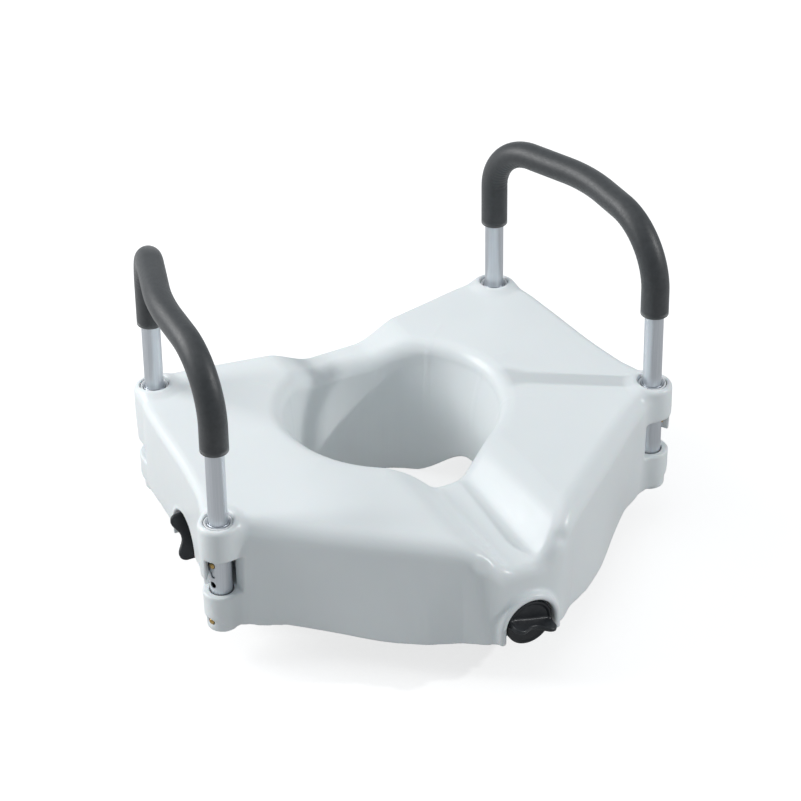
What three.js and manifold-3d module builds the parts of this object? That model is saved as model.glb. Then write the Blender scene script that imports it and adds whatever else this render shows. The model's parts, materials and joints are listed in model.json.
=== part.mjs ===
// Raised toilet seat with removable padded arms.
// Millimetres, +Z up, -Y is the front, +X is on the right when looking from the front to the back.
// The origin is the middle of the underside of the whole part's box. The pieces are drawn from
// a point on the centre plane midway between the front and rear legs, level with the undersides
// of the four leg stubs, and one group carries them from there to the origin.

import * as THREE from 'three';
import * as BufferGeometryUtils from 'three/addons/utils/BufferGeometryUtils.js';
import Module from 'manifold-3d';

const wasm = await Module();
wasm.setup();

// ---------------------------------------------------------------- driving dimensions

const DRAWN_FROM = { y: 89.6, z: 38 };
const SEAT_TOP = 128;
const WALL = 4;
const GAP = 0.3;

const LEG_FRONT = { x: 254.2, y: -126.8 };
const LEG_REAR = { x: 206.7, y: 126.8 };
const BOSS_RADIUS = 21;
const STUB_RADIUS = 16.5;
const STUB_TOP = 24;

const GUARD = { y: -15, radius: 104, bottom: -38, throat: 40 };
const GUARD_ARCH = { top: 3, middle: 4, flat: 4, end: 45.5 };
const RIM = { halfWidth: 115, front: 118, rear: 99, roll: 17 };
const TROUGH = { floorHalf: 17, topHalf: 50, depth: 31, drop: 9, start: -90, dropStart: -120, end: -290 };
const DIP = { floorHalf: 26, topHalf: 78, depth: 17, start: 60 };
const SLOPE_LENGTH = 40;

const WEB = { z: 42, thick: 4, inner: 106, outer: 152, rearReach: 132 };
const RIB_ANGLES = [5, 40, 140, 175, 210, 240, 300, 330];
const RIB = { thick: 3, inner: 107, bend: 121, head: 141, outer: 150, step: 70, bendHeight: 95, top: 125.5 };
const RIM_PAD_ANGLES = [45, 135, 225, 315];
const RIM_PAD = { inner: 118, outer: 144, halfWidth: 15, thick: 4 - GAP };

const TUBE = { outer: 10, inner: 8.5, bottom: 62 };
const SLEEVE = { outer: 11.5, inner: 10.4, bottom: 2, holes: [79, 67, 55], lockHole: 11.5, holeRadius: 3.7 };
const SOCKET_RADIUS = 12;
const COLLAR = { outer: 15, bore: 11.9, bottom: 122.4, seat: 122, bevel: 0.8, flare: 1.4, flareDepth: 2 };
const PLUG = { bottom: 0.3, top: 4.6, fit: 0.4 };
const WINDOW = { low: 45, high: 90, turn: 50, rearSide: -10.5, frontSide: 19.5, reach: 60 };
const SIDE_GAP = { high: 65, back: -4, reach: 30 };
const KEYWAY = { half: 4.6, reach: 15, low: 47 };
const BUTTON_TURN = 19;
const BUTTON_RADIUS = 3.2;
const LEAF = { thick: 0.8, width: 6, below: 6, bend: 1.4 };

const ARM = { rearHeight: 177.7, frontHeight: 180.2, middleHeight: 185, middleAlong: 130.7, bow: 18.4 };
const ARM_BENDS = [56, 200, 69];
const GRIP = { outer: 14.8, bore: 10.5 };
const ARM_STEPS = 28;
const GRIP_SKIP = 6;

const KNOB = { radius: 25.5, back: 1, face: 10, boreDepth: 6.5 };
const WING = { high: 17, waist: 9.5, thick: 7, tip: 0.6, end: 0.82 };
const CLAMP_HEIGHT = 28;
const FRONT_CLAMP = -300;
const SIDE_CLAMP = { x: 224, y: -7 };
const NICHE = { radius: 28, drop: 17 };
const NICHE_FRAME = { front: { depth: 13, radius: 36 }, side: { depth: 16, radius: 32 } };
const HOUSING = { back: -12, radius: 12, bore: 8.4 };
const RAIL = { clearance: 0.5, thick: 4, reach: -52, halfHeight: 12 };
const SCREW = { radius: 4, length: 62, head: 6 };
const BUSH_RADIUS = 8;
const RETAINER = { outer: 8.2, fit: 0.15, back: -14 };
const JAW = { width: 34, height: 34, thick: 12, pad: 5, face: -17, pocket: 7.4, pocketDepth: 8 };
const NUT = { radius: 6.9, thick: 6, inset: 0.5 };

const TUBE_SIDES = 10;
const ROUND_SIDES = 16;

// Stations of the shell from the rear centre to the front centre. Each one gives the direction
// of its point on the splash guard, the plan position of the wall under the seat's edge,
// the plan position and height of the skirt's lower edge, and the radius of the seat's edge.
const STATIONS = [
  { turn: 90, top: [0, 122], foot: [0, 122, 16], roll: 9 },
  { turn: 73, top: [30, 122], foot: [30, 122, 16], roll: 9 },
  { turn: 56, top: [64, 123], foot: [64, 123, 16], roll: 9 },
  { turn: 45, top: [134, 136], foot: [134, 138, 16], roll: 9 },
  { turn: 37, top: [202, 143], foot: [202, 143, 18], roll: 9 },
  { turn: 31, top: [225, 122], foot: [225, 122, 18], roll: 9 },
  { turn: 14, top: [236, 68], foot: [234, 68, 20], roll: 10 },
  { turn: -4, top: [243, -14], foot: [240, -14, 20], roll: 10 },
  { turn: -18, top: [252, -74], foot: [249, -74, 22], roll: 10 },
  { turn: -28, top: [262, -112], foot: [260, -112, 44], roll: 12 },
  { turn: -35, top: [248, -137], foot: [240, -137, 4], roll: 16 },
  { turn: -42, top: [208, -168], foot: [208, -158, 2], roll: 20 },
  { turn: -48, top: [160, -207], foot: [162, -202, 2], roll: 22 },
  { turn: -53, top: [128, -233], foot: [130, -235, 2], roll: 22 },
  { turn: -58, top: [92, -262], foot: [92, -266, 4], roll: 22 },
  { turn: -62, top: [64, -285], foot: [62, -284, 7], roll: 22 },
  { turn: -67, top: [46, -298], foot: [42, -302, 9], roll: 22 },
  { turn: -78, top: [22, -303], foot: [22, -308, 11], roll: 15 },
  { turn: -90, top: [0, -304], foot: [0, -309, 11], roll: 12 },
];
const STEPS_BETWEEN_STATIONS = 2;
const SKIRT_BEND = 1.3;

// ---------------------------------------------------------------- materials

function plastic(color, roughness) {
  return new THREE.MeshStandardMaterial({ color, roughness, metalness: 0 });
}

function metal(color, roughness) {
  return new THREE.MeshStandardMaterial({ color, roughness, metalness: 1 });
}

const whitePlastic = plastic(0xe9edf0, 0.35);
const blackPlastic = plastic(0x1d2024, 0.45);
const greyPlastic = plastic(0x9a9ea2, 0.5);
const foam = plastic(0x3b3e42, 0.75);
const rubber = plastic(0x2b2b2c, 0.85);
const aluminium = metal(0xc4c8cc, 0.35);
const brass = metal(0xb08d4a, 0.35);
const steel = metal(0x9fa3a8, 0.3);

// ---------------------------------------------------------------- solids

const radians = THREE.MathUtils.degToRad;
const smooth = THREE.MathUtils.smoothstep;

function toSolid(geometry) {
  const bare = geometry.clone();
  bare.deleteAttribute('normal');
  bare.deleteAttribute('uv');
  const merged = BufferGeometryUtils.mergeVertices(bare, 1e-4);
  const vertProperties = new Float32Array(merged.attributes.position.array);
  const triVerts = new Uint32Array(merged.index.array);
  return new wasm.Manifold(new wasm.Mesh({ numProp: 3, vertProperties, triVerts }));
}

function toGeometry(solid) {
  const mesh = solid.getMesh();
  const geometry = new THREE.BufferGeometry();
  geometry.setAttribute('position', new THREE.BufferAttribute(mesh.vertProperties, 3));
  geometry.setIndex(new THREE.BufferAttribute(mesh.triVerts, 1));
  geometry.computeVertexNormals();
  return geometry;
}

function box(low, high) {
  const size = high.map((value, i) => value - low[i]);
  const middle = high.map((value, i) => (value + low[i]) / 2);
  return new THREE.BoxGeometry(...size).translate(...middle);
}

// An upright cylinder between two heights.
function post(radius, low, high, sides = ROUND_SIDES) {
  const geometry = new THREE.CylinderGeometry(radius, radius, high - low, sides);
  return geometry.rotateX(Math.PI / 2).translate(0, 0, (low + high) / 2);
}

// A cylinder whose axis is +X, between two distances from the Z axis.
function rod(radius, from, to, sides = ROUND_SIDES) {
  return post(radius, from, to, sides).rotateY(Math.PI / 2);
}

// A profile of radii and heights turned about the Z axis.
function turned(profile, sides = ROUND_SIDES) {
  const points = profile.map((p) => new THREE.Vector2(...p));
  return new THREE.LatheGeometry(points, sides).rotateX(Math.PI / 2);
}

function ring(inner, outer, low, high, sides = ROUND_SIDES) {
  return turned([[inner, low], [outer, low], [outer, high], [inner, high], [inner, low]], sides);
}

// An outline drawn in X and Z, extruded evenly to both sides of Y = 0.
function plate(points, thick) {
  const shape = new THREE.Shape(points.map((p) => new THREE.Vector2(...p)));
  const geometry = new THREE.ExtrudeGeometry(shape, { depth: thick, bevelEnabled: false });
  return geometry.translate(0, 0, -thick / 2).rotateX(Math.PI / 2);
}

function joined(...geometries) {
  return geometries.map(toSolid).reduce((sum, solid) => sum.add(solid));
}

function without(solid, ...geometries) {
  return geometries.map(toSolid).reduce((rest, cut) => rest.subtract(cut), solid);
}

// ---------------------------------------------------------------- seat surface

// Height of the seat's upper face, with the front trough and the rear dip.
function seatHeight(x, y) {
  const side = Math.abs(x);
  const trough = 1 - smooth(side, TROUGH.floorHalf, TROUGH.topHalf);
  const dip = 1 - smooth(side, DIP.floorHalf, DIP.topHalf);
  const inFront = 1 - smooth(y, TROUGH.start, TROUGH.start + SLOPE_LENGTH);
  const atRear = smooth(y, DIP.start - SLOPE_LENGTH, DIP.start);
  const depth = TROUGH.depth + TROUGH.drop * smooth(-y, -TROUGH.dropStart, -TROUGH.end);
  return SEAT_TOP - depth * trough * inFront - DIP.depth * dip * atRear;
}

// Distance from the guard's axis to the rim of the opening: a longer half oval at the front.
function rimRadius(turn) {
  const halfDepth = Math.sin(turn) < 0 ? RIM.front : RIM.rear;
  return 1 / Math.hypot(Math.cos(turn) / RIM.halfWidth, Math.sin(turn) / halfDepth);
}

// The guard is a front and a rear tongue with an arch between them at each side.
function guardBottom(turn) {
  const fromSide = THREE.MathUtils.radToDeg(Math.asin(Math.sin(turn))) - GUARD_ARCH.middle;
  const arch = 1 - smooth(Math.abs(fromSide), GUARD_ARCH.flat, GUARD_ARCH.end);
  return GUARD.bottom + (GUARD_ARCH.top - GUARD.bottom) * arch;
}

// One closed loop of the shell: up the opening's wall, over the seat, down the skirt,
// and back along the inner faces, one wall thickness away.
function shellLoop(station) {
  const turn = radians(station.turn);
  const outward = new THREE.Vector3(Math.cos(turn), Math.sin(turn), 0);
  const up = new THREE.Vector3(0, 0, 1);
  const axis = new THREE.Vector3(0, GUARD.y, 0);
  const at = (radius, z) => axis.clone().addScaledVector(outward, radius).setZ(z);

  const rim = rimRadius(turn);
  const brim = at(rim + RIM.roll, 0);
  const brimHeight = seatHeight(brim.x, brim.y);
  const wall = new THREE.Vector3(...station.top, 0);
  const foot = new THREE.Vector3(...station.foot);
  const across = wall.clone().sub(brim).normalize();
  const edge = wall.clone().addScaledVector(across, -station.roll);

  const faces = [];
  const face = (point, inward) => faces.push({ point, inward });

  const bottom = guardBottom(turn);
  face(at(GUARD.radius, bottom), outward);
  face(at(GUARD.radius, (bottom + GUARD.throat) / 2), outward);
  face(at(GUARD.radius, GUARD.throat), outward);
  for (const share of [1 / 2, 1]) {
    const z = GUARD.throat + share * (brimHeight - RIM.roll - GUARD.throat);
    face(at(GUARD.radius + (rim - GUARD.radius) * share * share, z), outward);
  }
  const overBrim = outward.clone().sub(up).normalize();
  const halfwayRound = RIM.roll * (1 - Math.SQRT1_2);
  face(at(rim + halfwayRound, brimHeight - halfwayRound), overBrim);
  face(brim.clone().setZ(brimHeight), up.clone().negate());
  for (const share of [1 / 3, 2 / 3, 1]) {
    const point = brim.clone().lerp(edge, share);
    face(point.setZ(seatHeight(point.x, point.y)), up.clone().negate());
  }

  const edgeHeight = seatHeight(edge.x, edge.y);
  for (const angle of [35, 65]) {
    const drop = radians(angle);
    const point = edge.clone().addScaledVector(across, station.roll * Math.sin(drop));
    const inward = across.clone().multiplyScalar(-Math.sin(drop)).addScaledVector(up, -Math.cos(drop));
    face(point.setZ(edgeHeight - station.roll * (1 - Math.cos(drop))), inward);
  }
  const wallHigh = edgeHeight - station.roll;
  for (const share of [0, 0.5, 1]) {
    const point = wall.clone().lerp(foot, share ** SKIRT_BEND);
    face(point.setZ(wallHigh + (foot.z - wallHigh) * share), across.clone().negate());
  }

  const outer = faces.map(({ point }) => point);
  const inner = faces.map(({ point, inward }) => point.clone().addScaledVector(inward, WALL));
  return [...outer, ...inner.reverse()];
}

// Smooth curves through the stations, and their mirror images on the left.
function shellStations() {
  const column = (pick) => new THREE.CatmullRomCurve3(STATIONS.map(pick), false, 'centripetal');
  const tops = column((s) => new THREE.Vector3(...s.top, 0));
  const feet = column((s) => new THREE.Vector3(...s.foot));
  const last = STATIONS.length - 1;
  const right = [];
  for (let i = 0; i <= last * STEPS_BETWEEN_STATIONS; i++) {
    const t = i / (last * STEPS_BETWEEN_STATIONS);
    const index = Math.min(Math.floor(t * last), last - 1);
    const share = t * last - index;
    const [from, to] = [STATIONS[index], STATIONS[index + 1]];
    const top = tops.getPoint(t);
    const foot = feet.getPoint(t);
    right.push({
      turn: from.turn + (to.turn - from.turn) * share,
      roll: from.roll + (to.roll - from.roll) * share,
      top: [top.x, top.y],
      foot: [foot.x, foot.y, foot.z],
    });
  }
  const mirrored = right.slice(1, -1).reverse().map((s) => ({
    turn: 180 - s.turn,
    roll: s.roll,
    top: [-s.top[0], s.top[1]],
    foot: [-s.foot[0], s.foot[1], s.foot[2]],
  }));
  return [...right, ...mirrored];
}

function shellSkin() {
  const loops = shellStations().map(shellLoop);
  const count = loops[0].length;
  const geometry = new THREE.BufferGeometry().setFromPoints(loops.flat());
  const index = [];
  for (let i = 0; i < loops.length; i++) {
    const next = (i + 1) % loops.length;
    for (let j = 0; j < count; j++) {
      const above = (j + 1) % count;
      const [a, b, c, d] = [i * count + j, next * count + j, next * count + above, i * count + above];
      index.push(a, b, d, b, c, d);
    }
  }
  geometry.setIndex(index);
  return geometry;
}

// ---------------------------------------------------------------- shell features

// Places a shape made around the Z axis at a leg, mirrored to the leg's side and end.
function atLeg(geometry, leg, turn = 0) {
  const outward = leg.side > 0 ? -leg.end * turn : 180 + leg.end * turn;
  return geometry.rotateZ(radians(outward)).translate(leg.x, leg.y, 0);
}

const LEGS = ['left', 'right'].flatMap((hand) => {
  const side = hand === 'left' ? -1 : 1;
  return [
    { name: `${hand}_front`, hand, side, end: 1, x: side * LEG_FRONT.x, y: LEG_FRONT.y },
    { name: `${hand}_rear`, hand, side, end: -1, x: side * LEG_REAR.x, y: LEG_REAR.y },
  ];
});

function socketPost(leg) {
  const boss = post(BOSS_RADIUS, STUB_TOP, SEAT_TOP - 2, 22);
  const crown = post(BOSS_RADIUS - 2, SEAT_TOP - 3, SEAT_TOP, 22);
  const stub = post(STUB_RADIUS, 0, STUB_TOP + 1, 22);
  return [boss, crown, stub].map((geometry) => atLeg(geometry, leg));
}

function socketCuts(leg) {
  const bore = post(SOCKET_RADIUS, -1, SEAT_TOP + 1);
  const mouth = post(COLLAR.outer + GAP, COLLAR.seat, SEAT_TOP + 1);
  const slot = (back, rearSide, frontSide, high) => {
    const sides = [rearSide, frontSide].map((across) => across * -leg.side * leg.end);
    return box([back, Math.min(...sides), WINDOW.low], [WINDOW.reach, Math.max(...sides), high]);
  };
  const window = slot(0, WINDOW.rearSide, WINDOW.frontSide, WINDOW.high);
  const sideGap = slot(SIDE_GAP.back, -SIDE_GAP.reach, 0, SIDE_GAP.high);
  const keyway = box([0, -KEYWAY.half, KEYWAY.low], [KEYWAY.reach, KEYWAY.half, SEAT_TOP + 1]);
  const lockHole = rod(SLEEVE.holeRadius, 0, 2 * BOSS_RADIUS).translate(0, 0, SLEEVE.lockHole);
  return [
    atLeg(bore, leg),
    atLeg(mouth, leg),
    atLeg(window, leg, WINDOW.turn),
    atLeg(sideGap, leg, WINDOW.turn),
    atLeg(keyway, leg, BUTTON_TURN),
    atLeg(lockHole, leg, BUTTON_TURN),
  ];
}

const CLAMPS = [
  { name: 'front', turn: -90, wingTurn: 74.7, x: 0, y: FRONT_CLAMP, frame: NICHE_FRAME.front },
  { name: 'right', turn: 0, wingTurn: 10, x: SIDE_CLAMP.x, y: SIDE_CLAMP.y, frame: NICHE_FRAME.side },
  { name: 'left', turn: 180, wingTurn: 29.8, x: -SIDE_CLAMP.x, y: SIDE_CLAMP.y, frame: NICHE_FRAME.side },
];

// Places a shape drawn around the +X axis, with X = 0 at the niche's floor, at a clamp.
function atClamp(geometry, clamp) {
  return geometry.rotateZ(radians(clamp.turn)).translate(clamp.x, clamp.y, CLAMP_HEIGHT);
}

// An arch with straight sides, open at the bottom.
function arch(radius, drop, from, to) {
  const shape = new THREE.Shape();
  shape.moveTo(-radius, -drop);
  shape.lineTo(-radius, 0);
  shape.absarc(0, 0, radius, Math.PI, 0, true);
  shape.lineTo(radius, -drop);
  const options = { depth: to - from, bevelEnabled: false, curveSegments: 7 };
  const geometry = new THREE.ExtrudeGeometry(shape, options);
  return geometry.translate(0, 0, from).rotateX(Math.PI / 2).rotateZ(Math.PI / 2);
}

function clampHousing(clamp) {
  const frame = arch(clamp.frame.radius, NICHE.drop, -WALL, clamp.frame.depth);
  const hub = rod(HOUSING.radius, HOUSING.back, 0);
  const rails = [-1, 1].map((side) => {
    const inner = side * (JAW.width / 2 + RAIL.clearance);
    const outer = inner + side * RAIL.thick;
    const low = [RAIL.reach, Math.min(inner, outer), -RAIL.halfHeight];
    return box(low, [-1, Math.max(inner, outer), RAIL.halfHeight]);
  });
  return [frame, hub, ...rails].map((geometry) => atClamp(geometry, clamp));
}

function clampCuts(clamp) {
  const niche = arch(NICHE.radius, NICHE.drop + WALL, 0, NICHE.radius);
  const hole = rod(HOUSING.bore, HOUSING.back - 1, 1);
  return [niche, hole].map((geometry) => atClamp(geometry, clamp));
}

// The ring that carries the rim pads, cut straight at the rear to stay inside the skirt.
function webRing() {
  const shape = new THREE.Shape();
  const half = Math.acos(WEB.rearReach / WEB.outer);
  shape.absarc(0, 0, WEB.outer, Math.PI / 2 + half, Math.PI / 2 - half, false);
  shape.holes.push(new THREE.Path().absarc(0, 0, WEB.inner, 0, 2 * Math.PI, false));
  const options = { depth: WEB.thick, bevelEnabled: false, curveSegments: 18 };
  return new THREE.ExtrudeGeometry(shape, options).translate(0, 0, WEB.z);
}

function stiffeners() {
  const foot = WEB.z + WEB.thick / 2;
  const outline = [
    [RIB.inner, foot], [RIB.outer, foot], [RIB.outer, RIB.top],
    [RIB.head, RIB.top], [RIB.bend, RIB.bendHeight], [RIB.inner, RIB.step],
  ];
  const ribs = RIB_ANGLES.map((angle) => plate(outline, RIB.thick).rotateZ(radians(angle)));
  return [webRing(), ...ribs].map((geometry) => geometry.translate(0, GUARD.y, 0));
}

function seatShell() {
  const added = [...stiffeners(), ...LEGS.flatMap(socketPost), ...CLAMPS.flatMap(clampHousing)];
  const removed = [...LEGS.flatMap(socketCuts), ...CLAMPS.flatMap(clampCuts)];
  return toGeometry(without(joined(shellSkin(), ...added), ...removed));
}

function rimPad(angle) {
  const { inner, outer, halfWidth, thick } = RIM_PAD;
  const high = WEB.z - GAP;
  const pad = box([inner, -halfWidth, high - thick], [outer, halfWidth, high]);
  return pad.rotateZ(radians(angle)).translate(0, GUARD.y, 0);
}

// ---------------------------------------------------------------- legs

// Cuts a button's hole through one side of a tube.
function sideHole(z) {
  return rod(SLEEVE.holeRadius, TUBE.inner / 2, 2 * SLEEVE.outer, 12).translate(0, 0, z);
}

function sleeve(leg) {
  const wall = toSolid(ring(SLEEVE.inner, SLEEVE.outer, SLEEVE.bottom, SEAT_TOP));
  const heights = [...SLEEVE.holes, SLEEVE.lockHole];
  const holes = heights.map((z) => sideHole(z));
  return atLeg(toGeometry(without(wall, ...holes)), leg, BUTTON_TURN);
}

function collar(leg) {
  const profile = [
    [COLLAR.bore, COLLAR.bottom], [COLLAR.outer, COLLAR.bottom],
    [COLLAR.outer, SEAT_TOP - COLLAR.bevel], [COLLAR.outer - COLLAR.bevel, SEAT_TOP],
    [COLLAR.bore + COLLAR.flare, SEAT_TOP], [COLLAR.bore, SEAT_TOP - COLLAR.flareDepth],
    [COLLAR.bore, COLLAR.bottom],
  ];
  return atLeg(turned(profile), leg, BUTTON_TURN);
}

function endPlug(leg) {
  const profile = [
    [0, PLUG.bottom], [SLEEVE.outer, PLUG.bottom], [SLEEVE.outer, SLEEVE.bottom - GAP],
    [SLEEVE.inner - PLUG.fit, SLEEVE.bottom - GAP], [SLEEVE.inner - 2 * PLUG.fit, PLUG.top], [0, PLUG.top],
  ];
  return atLeg(turned(profile), leg, BUTTON_TURN);
}

// A V-shaped spring leaf with a button on its outer leg. The bend is at the top.
function snapClip(leg, { z, tip, front, back, rise }) {
  const { thick, width, below, bend } = LEAF;
  const top = z + rise;
  const outline = [
    [front - thick, z - below], [front, z - below], [front, top], [front - bend, top + bend],
    [front - 2 * bend, top], [back, z - below + 2], [back + thick, z - below + 2],
    [front - 3 * thick, top - 2 * bend], [front - 2 * thick, top - thick / 2], [front - thick, top - thick],
  ];
  const button = rod(BUTTON_RADIUS, front - thick / 2, tip, 14).translate(0, 0, z);
  return atLeg(toGeometry(joined(plate(outline, width), button)), leg, BUTTON_TURN);
}

function heightClip(leg) {
  return snapClip(leg, { z: SLEEVE.holes[0], tip: 13.8, front: 7.2, back: -3.8, rise: 24 });
}

function lockClip(leg) {
  return snapClip(leg, { z: SLEEVE.lockHole, tip: 17.8, front: 9.2, back: -1.5, rise: 20 });
}

// ---------------------------------------------------------------- arms

// A path of straight stretches with a round bend at each inner corner.
function roundedPath(corners, bends) {
  const path = new THREE.CurvePath();
  let start = corners[0];
  for (let i = 1; i < corners.length - 1; i++) {
    const corner = corners[i];
    const back = start.clone().sub(corner).normalize();
    const ahead = corners[i + 1].clone().sub(corner).normalize();
    const bend = Math.PI - back.angleTo(ahead);
    const reach = bends[i - 1] * Math.tan(bend / 2);
    const handle = reach - (4 / 3) * Math.tan(bend / 4) * bends[i - 1];
    const enter = corner.clone().addScaledVector(back, reach);
    const leave = corner.clone().addScaledVector(ahead, reach);
    path.add(new THREE.LineCurve3(start, enter));
    path.add(new THREE.CubicBezierCurve3(
      enter,
      corner.clone().addScaledVector(back, handle),
      corner.clone().addScaledVector(ahead, handle),
      leave,
    ));
    start = leave;
  }
  path.add(new THREE.LineCurve3(start, corners[corners.length - 1]));
  return path;
}

// The arm rises at the rear leg, bows outward along its top and comes down at the front leg.
function armPath(side) {
  const rear = new THREE.Vector3(side * LEG_REAR.x, LEG_REAR.y, 0);
  const front = new THREE.Vector3(side * LEG_FRONT.x, LEG_FRONT.y, 0);
  const along = front.clone().sub(rear);
  const outward = new THREE.Vector3(-along.y, along.x, 0).normalize().multiplyScalar(side);
  const middle = rear.clone().addScaledVector(along, ARM.middleAlong / along.length());
  middle.addScaledVector(outward, ARM.bow);
  return roundedPath([
    rear.clone().setZ(TUBE.bottom),
    rear.clone().setZ(SEAT_TOP + ARM.rearHeight),
    middle.setZ(SEAT_TOP + ARM.middleHeight),
    front.clone().setZ(SEAT_TOP + ARM.frontHeight),
    front.clone().setZ(TUBE.bottom),
  ], ARM_BENDS);
}

// A stretch of a longer path, sampled at the same places as the whole.
class Stretch extends THREE.Curve {
  constructor(path, from, to) {
    super();
    Object.assign(this, { path, from, to });
  }

  getPoint(t, target = new THREE.Vector3()) {
    return target.copy(this.path.getPointAt(this.from + (this.to - this.from) * t));
  }

  getPointAt(u, target) {
    return this.getPoint(u, target);
  }
}

function sweptRing(outer, inner, path, steps) {
  const circle = (radius) => {
    const points = [];
    for (let i = 0; i < TUBE_SIDES; i++) {
      const angle = (i / TUBE_SIDES) * 2 * Math.PI;
      points.push(new THREE.Vector2(radius * Math.cos(angle), radius * Math.sin(angle)));
    }
    return points;
  };
  const shape = new THREE.Shape(circle(outer));
  shape.holes.push(new THREE.Path(circle(inner)));
  return new THREE.ExtrudeGeometry(shape, { steps, extrudePath: path, bevelEnabled: false });
}

function armTube(hand) {
  const legs = LEGS.filter((leg) => leg.hand === hand);
  const path = new Stretch(armPath(legs[0].side), 0, 1);
  const holes = legs.map((leg) => atLeg(sideHole(SLEEVE.holes[0]), leg, BUTTON_TURN));
  return toGeometry(without(toSolid(sweptRing(TUBE.outer, TUBE.inner, path, ARM_STEPS)), ...holes));
}

function armGrip(hand) {
  const side = hand === 'left' ? -1 : 1;
  const end = GRIP_SKIP / ARM_STEPS;
  const path = new Stretch(armPath(side), end, 1 - end);
  return sweptRing(GRIP.outer, GRIP.bore, path, ARM_STEPS - 2 * GRIP_SKIP);
}

// ---------------------------------------------------------------- clamps

// A disc with a wing across it, highest near its two ends.
function knob(clamp) {
  const { radius, back, face, boreDepth } = KNOB;
  const disc = rod(radius, back, face, 28);
  const outline = [
    [face - 2, -radius + 1], [face + 3, -radius], [face + WING.high - 1, -radius * WING.end],
    [face + WING.high, -radius * WING.tip], [face + WING.waist, 0], [face + WING.high, radius * WING.tip],
    [face + WING.high - 1, radius * WING.end], [face + 3, radius], [face - 2, radius - 1],
  ];
  const rib = plate(outline, WING.thick).rotateX(radians(clamp.wingTurn));
  const bore = rod(SCREW.radius + GAP, -1, boreDepth);
  return atClamp(toGeometry(without(joined(disc, rib), bore)), clamp);
}

function clampScrew(clamp) {
  return atClamp(rod(SCREW.radius, SCREW.head - SCREW.length, SCREW.head), clamp);
}

// A turned ring on the clamp's axis.
function axialRing(inner, outer, from, to, clamp) {
  return atClamp(ring(inner, outer, from, to).rotateY(Math.PI / 2), clamp);
}

function bush(clamp) {
  return axialRing(SCREW.radius + GAP, BUSH_RADIUS, HOUSING.back + 0.2, -0.4, clamp);
}

function retainer(clamp) {
  return axialRing(SCREW.radius + RETAINER.fit, RETAINER.outer, RETAINER.back, HOUSING.back - GAP, clamp);
}

function jaw(clamp) {
  const { width, height, thick, face, pocket, pocketDepth } = JAW;
  const back = face - thick;
  const block = box([back, -width / 2, -height / 2], [face, width / 2, height / 2]);
  const hole = rod(SCREW.radius + 0.4, back - 1, face + 1);
  const nutPocket = rod(pocket, back - 1, back + pocketDepth, 6);
  return atClamp(toGeometry(without(toSolid(block), hole, nutPocket)), clamp);
}

function jawNut(clamp) {
  const from = JAW.face - JAW.thick + NUT.inset;
  const nut = ring(SCREW.radius + 0.9, NUT.radius, from, from + NUT.thick, 6).rotateY(Math.PI / 2);
  return atClamp(nut, clamp);
}

function jawPad(clamp) {
  const { width, height, thick, pad, face } = JAW;
  const from = face - thick - GAP - pad;
  const block = box([from, -width / 2, -height / 2], [from + pad, width / 2, height / 2]);
  const hole = rod(SCREW.radius + 0.6, from - 1, from + pad + 1);
  return atClamp(toGeometry(without(toSolid(block), hole)), clamp);
}

// ---------------------------------------------------------------- assembly

const seat = new THREE.Group();
const pieces = new THREE.Group();
pieces.position.set(0, DRAWN_FROM.y, DRAWN_FROM.z);
seat.add(pieces);

function add(name, geometry, material) {
  const mesh = new THREE.Mesh(geometry, material);
  mesh.name = name;
  pieces.add(mesh);
}

add('seat_shell', seatShell(), whitePlastic);
RIM_PAD_ANGLES.forEach((angle, i) => add(`rim_pad_${i + 1}`, rimPad(angle), rubber));

for (const leg of LEGS) {
  add(`${leg.name}_sleeve`, sleeve(leg), aluminium);
  add(`${leg.name}_collar`, collar(leg), whitePlastic);
  add(`${leg.name}_end_plug`, endPlug(leg), greyPlastic);
  add(`${leg.name}_height_clip`, heightClip(leg), brass);
  add(`${leg.name}_lock_clip`, lockClip(leg), brass);
}

for (const hand of ['left', 'right']) {
  add(`${hand}_arm_tube`, armTube(hand), aluminium);
  add(`${hand}_arm_grip`, armGrip(hand), foam);
}

for (const clamp of CLAMPS) {
  add(`${clamp.name}_knob`, knob(clamp), blackPlastic);
  add(`${clamp.name}_clamp_screw`, clampScrew(clamp), steel);
  add(`${clamp.name}_bush`, bush(clamp), greyPlastic);
  add(`${clamp.name}_retaining_ring`, retainer(clamp), steel);
  add(`${clamp.name}_jaw`, jaw(clamp), greyPlastic);
  add(`${clamp.name}_jaw_nut`, jawNut(clamp), steel);
  add(`${clamp.name}_jaw_pad`, jawPad(clamp), rubber);
}

export default seat;
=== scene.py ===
import json
import math
from functools import partial

import bpy
import numpy as np
from mathutils import Matrix, Vector


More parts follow.
